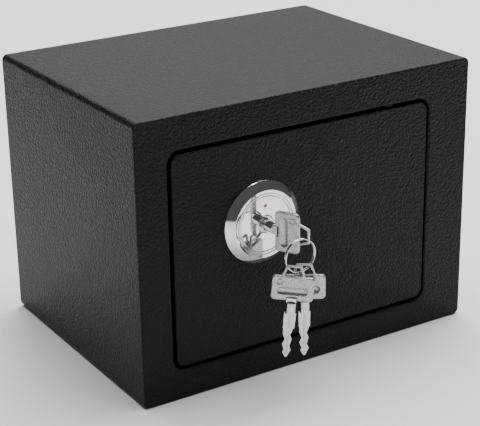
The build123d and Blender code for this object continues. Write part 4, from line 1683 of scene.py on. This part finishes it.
    def eye_cutter(self, level: float) -> bpy.types.Object:
        """Round wire that leaves a ringed eye in one face."""
        ring = [(self.eye_radius + self.eye_wire * math.cos(math.pi * k / 8),
                 level + self.eye_wire * math.sin(math.pi * k / 8)) for k in range(16)]
        return turned("cutter", (self.eye[0], self.eye[1], 0.0), Turning.ALONG_Z, ring,
                      segments=48)


@dataclass
class SplitRing(Assembly):
    """Key ring wound from spring wire."""

    radius: float = 9.75 * MM
    wire: float = 0.49 * MM
    lay: float = 0.485 * MM
    turns: float = 1.93
    begin_deg: float = 205.0

    def build(self) -> None:
        """Winds the ring."""
        low, high = self.shop.box("key_ring")
        middle = (low + high) / 2
        tree = build_split_ring_tree()
        ring = tree.run("split_ring", {
            "Centre": tuple(middle), "Radius": self.radius, "Wire": self.wire,
            "Lay": self.lay, "Begin": math.radians(self.begin_deg), "Turns": self.turns,
            "Material": self.shop.finishes.get(Slot.WIRE)})
        self.keep(ring, Slot.WIRE, "key_ring")


# ---------------------------------------------------------------------------
# Studio
# ---------------------------------------------------------------------------


@dataclass(frozen=True)
class Softbox:
    """Rectangular studio light."""

    name: str
    place: Point
    target: Point
    size: Pair
    watts: float

    def build(self) -> bpy.types.Object:
        """Makes the light and aims it."""
        data = bpy.data.lights.new(self.name, "AREA")
        data.shape = "RECTANGLE"
        data.size, data.size_y = self.size
        data.energy = self.watts
        obj = link(bpy.data.objects.new(self.name, data))
        obj.location = self.place
        aim = Vector(self.target) - Vector(self.place)
        obj.rotation_euler = aim.to_track_quat("-Z", "Y").to_euler()
        return obj


@dataclass
class Studio:
    """Pale floor, soft lights and the camera."""

    azimuth_deg: float = -31.92
    elevation_deg: float = 21.38
    roll_deg: float = -0.94
    distance: float = 908.1 * MM
    shift_right: float = -3.15 * MM
    shift_up: float = 16.64 * MM
    aim_height: float = 85 * MM
    lens_mm: float = 107.91
    floor_half: float = 7.0
    world_strength: float = 0.09
    boxes: tuple[Softbox, ...] = (
        Softbox("overhead_softbox", (0.5, 0.35, 1.9), (0.1, 0.0, 0.0), (2.2, 2.2), 112.0),
        Softbox("rear_softbox", (1.35, 2.15, 1.0), (0.0, 0.0, 0.12), (1.9, 1.1), 8.0),
        Softbox("left_softbox", (-2.0, 0.1, 0.85), (0.0, 0.0, 0.08), (1.1, 0.9), 2.0),
    )

    def build(self) -> None:
        """Builds floor, world, lights and camera."""
        self.build_floor()
        world = bpy.data.worlds.new("studio_world")
        world.use_nodes = True
        node = world.node_tree.nodes["Background"]
        node.inputs["Color"].default_value = (0.96, 0.98, 1.0, 1.0)
        node.inputs["Strength"].default_value = self.world_strength
        bpy.context.scene.world = world
        for box in self.boxes:
            box.build()
        self.build_camera()

    def build_floor(self) -> None:
        """Pale floor under the safe."""
        half = self.floor_half
        verts = [(-half, -half, 0.0), (half, -half, 0.0), (half, half, 0.0),
                 (-half, half, 0.0)]
        mesh = bpy.data.meshes.new("studio_floor")
        mesh.from_pydata(verts, [], [(0, 1, 2, 3)])
        draft = MaterialDraft("pale_floor")
        draft.fixed(Base_Color=(0.86, 0.86, 0.86, 1.0), Roughness=0.85,
                    Specular_IOR_Level=0.1)
        mesh.materials.append(draft.material)
        floor = link(bpy.data.objects.new("studio_floor", mesh))
        floor.location.z = -0.0002

    def build_camera(self) -> None:
        """Camera in front and to the left, looking slightly down."""
        turn, rise = math.radians(self.azimuth_deg), math.radians(self.elevation_deg)
        roll = math.radians(self.roll_deg)
        right = Vector((math.cos(turn), math.sin(turn), 0.0))
        back = Vector((math.sin(turn) * math.cos(rise), -math.cos(turn) * math.cos(rise),
                       math.sin(rise)))
        up = back.cross(right)
        rolled_right = right * math.cos(roll) + up * math.sin(roll)
        rolled_up = up * math.cos(roll) - right * math.sin(roll)
        place = (Vector((0.0, 0.0, self.aim_height)) - rolled_right * self.shift_right
                 - rolled_up * self.shift_up + back * self.distance)
        data = bpy.data.cameras.new("studio_camera")
        data.lens = self.lens_mm
        data.sensor_width = 36.0
        data.clip_start, data.clip_end = 0.01, 50.0
        camera = link(bpy.data.objects.new("studio_camera", data))
        matrix = Matrix((rolled_right, rolled_up, back)).transposed().to_4x4()
        matrix.translation = place
        camera.matrix_world = matrix
        bpy.context.scene.camera = camera


def main() -> None:
    """Builds every sub-assembly in order, then the studio."""
    logging.basicConfig(level=logging.INFO, format="%(name)s %(message)s")
    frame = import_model()
    finishes = Finishes()
    finishes.build()
    shop = Workshop(frame, finishes)
    assemblies: list[Assembly] = [
        Cabinet(shop), Hinges(shop), Door(shop), LockFront(shop), LockPlug(shop),
        BoltWork(shop), FoldingKey(shop, prefix="key"),
        FoldingKey(shop, prefix="spare_key_1"), FoldingKey(shop, prefix="spare_key_2"),
        SplitRing(shop)]
    for assembly in assemblies:
        assembly.build()
        assembly.dress()
        LOG.info("%s done", type(assembly).__name__)
    Studio().build()


if __name__ == "__main__":
    main()
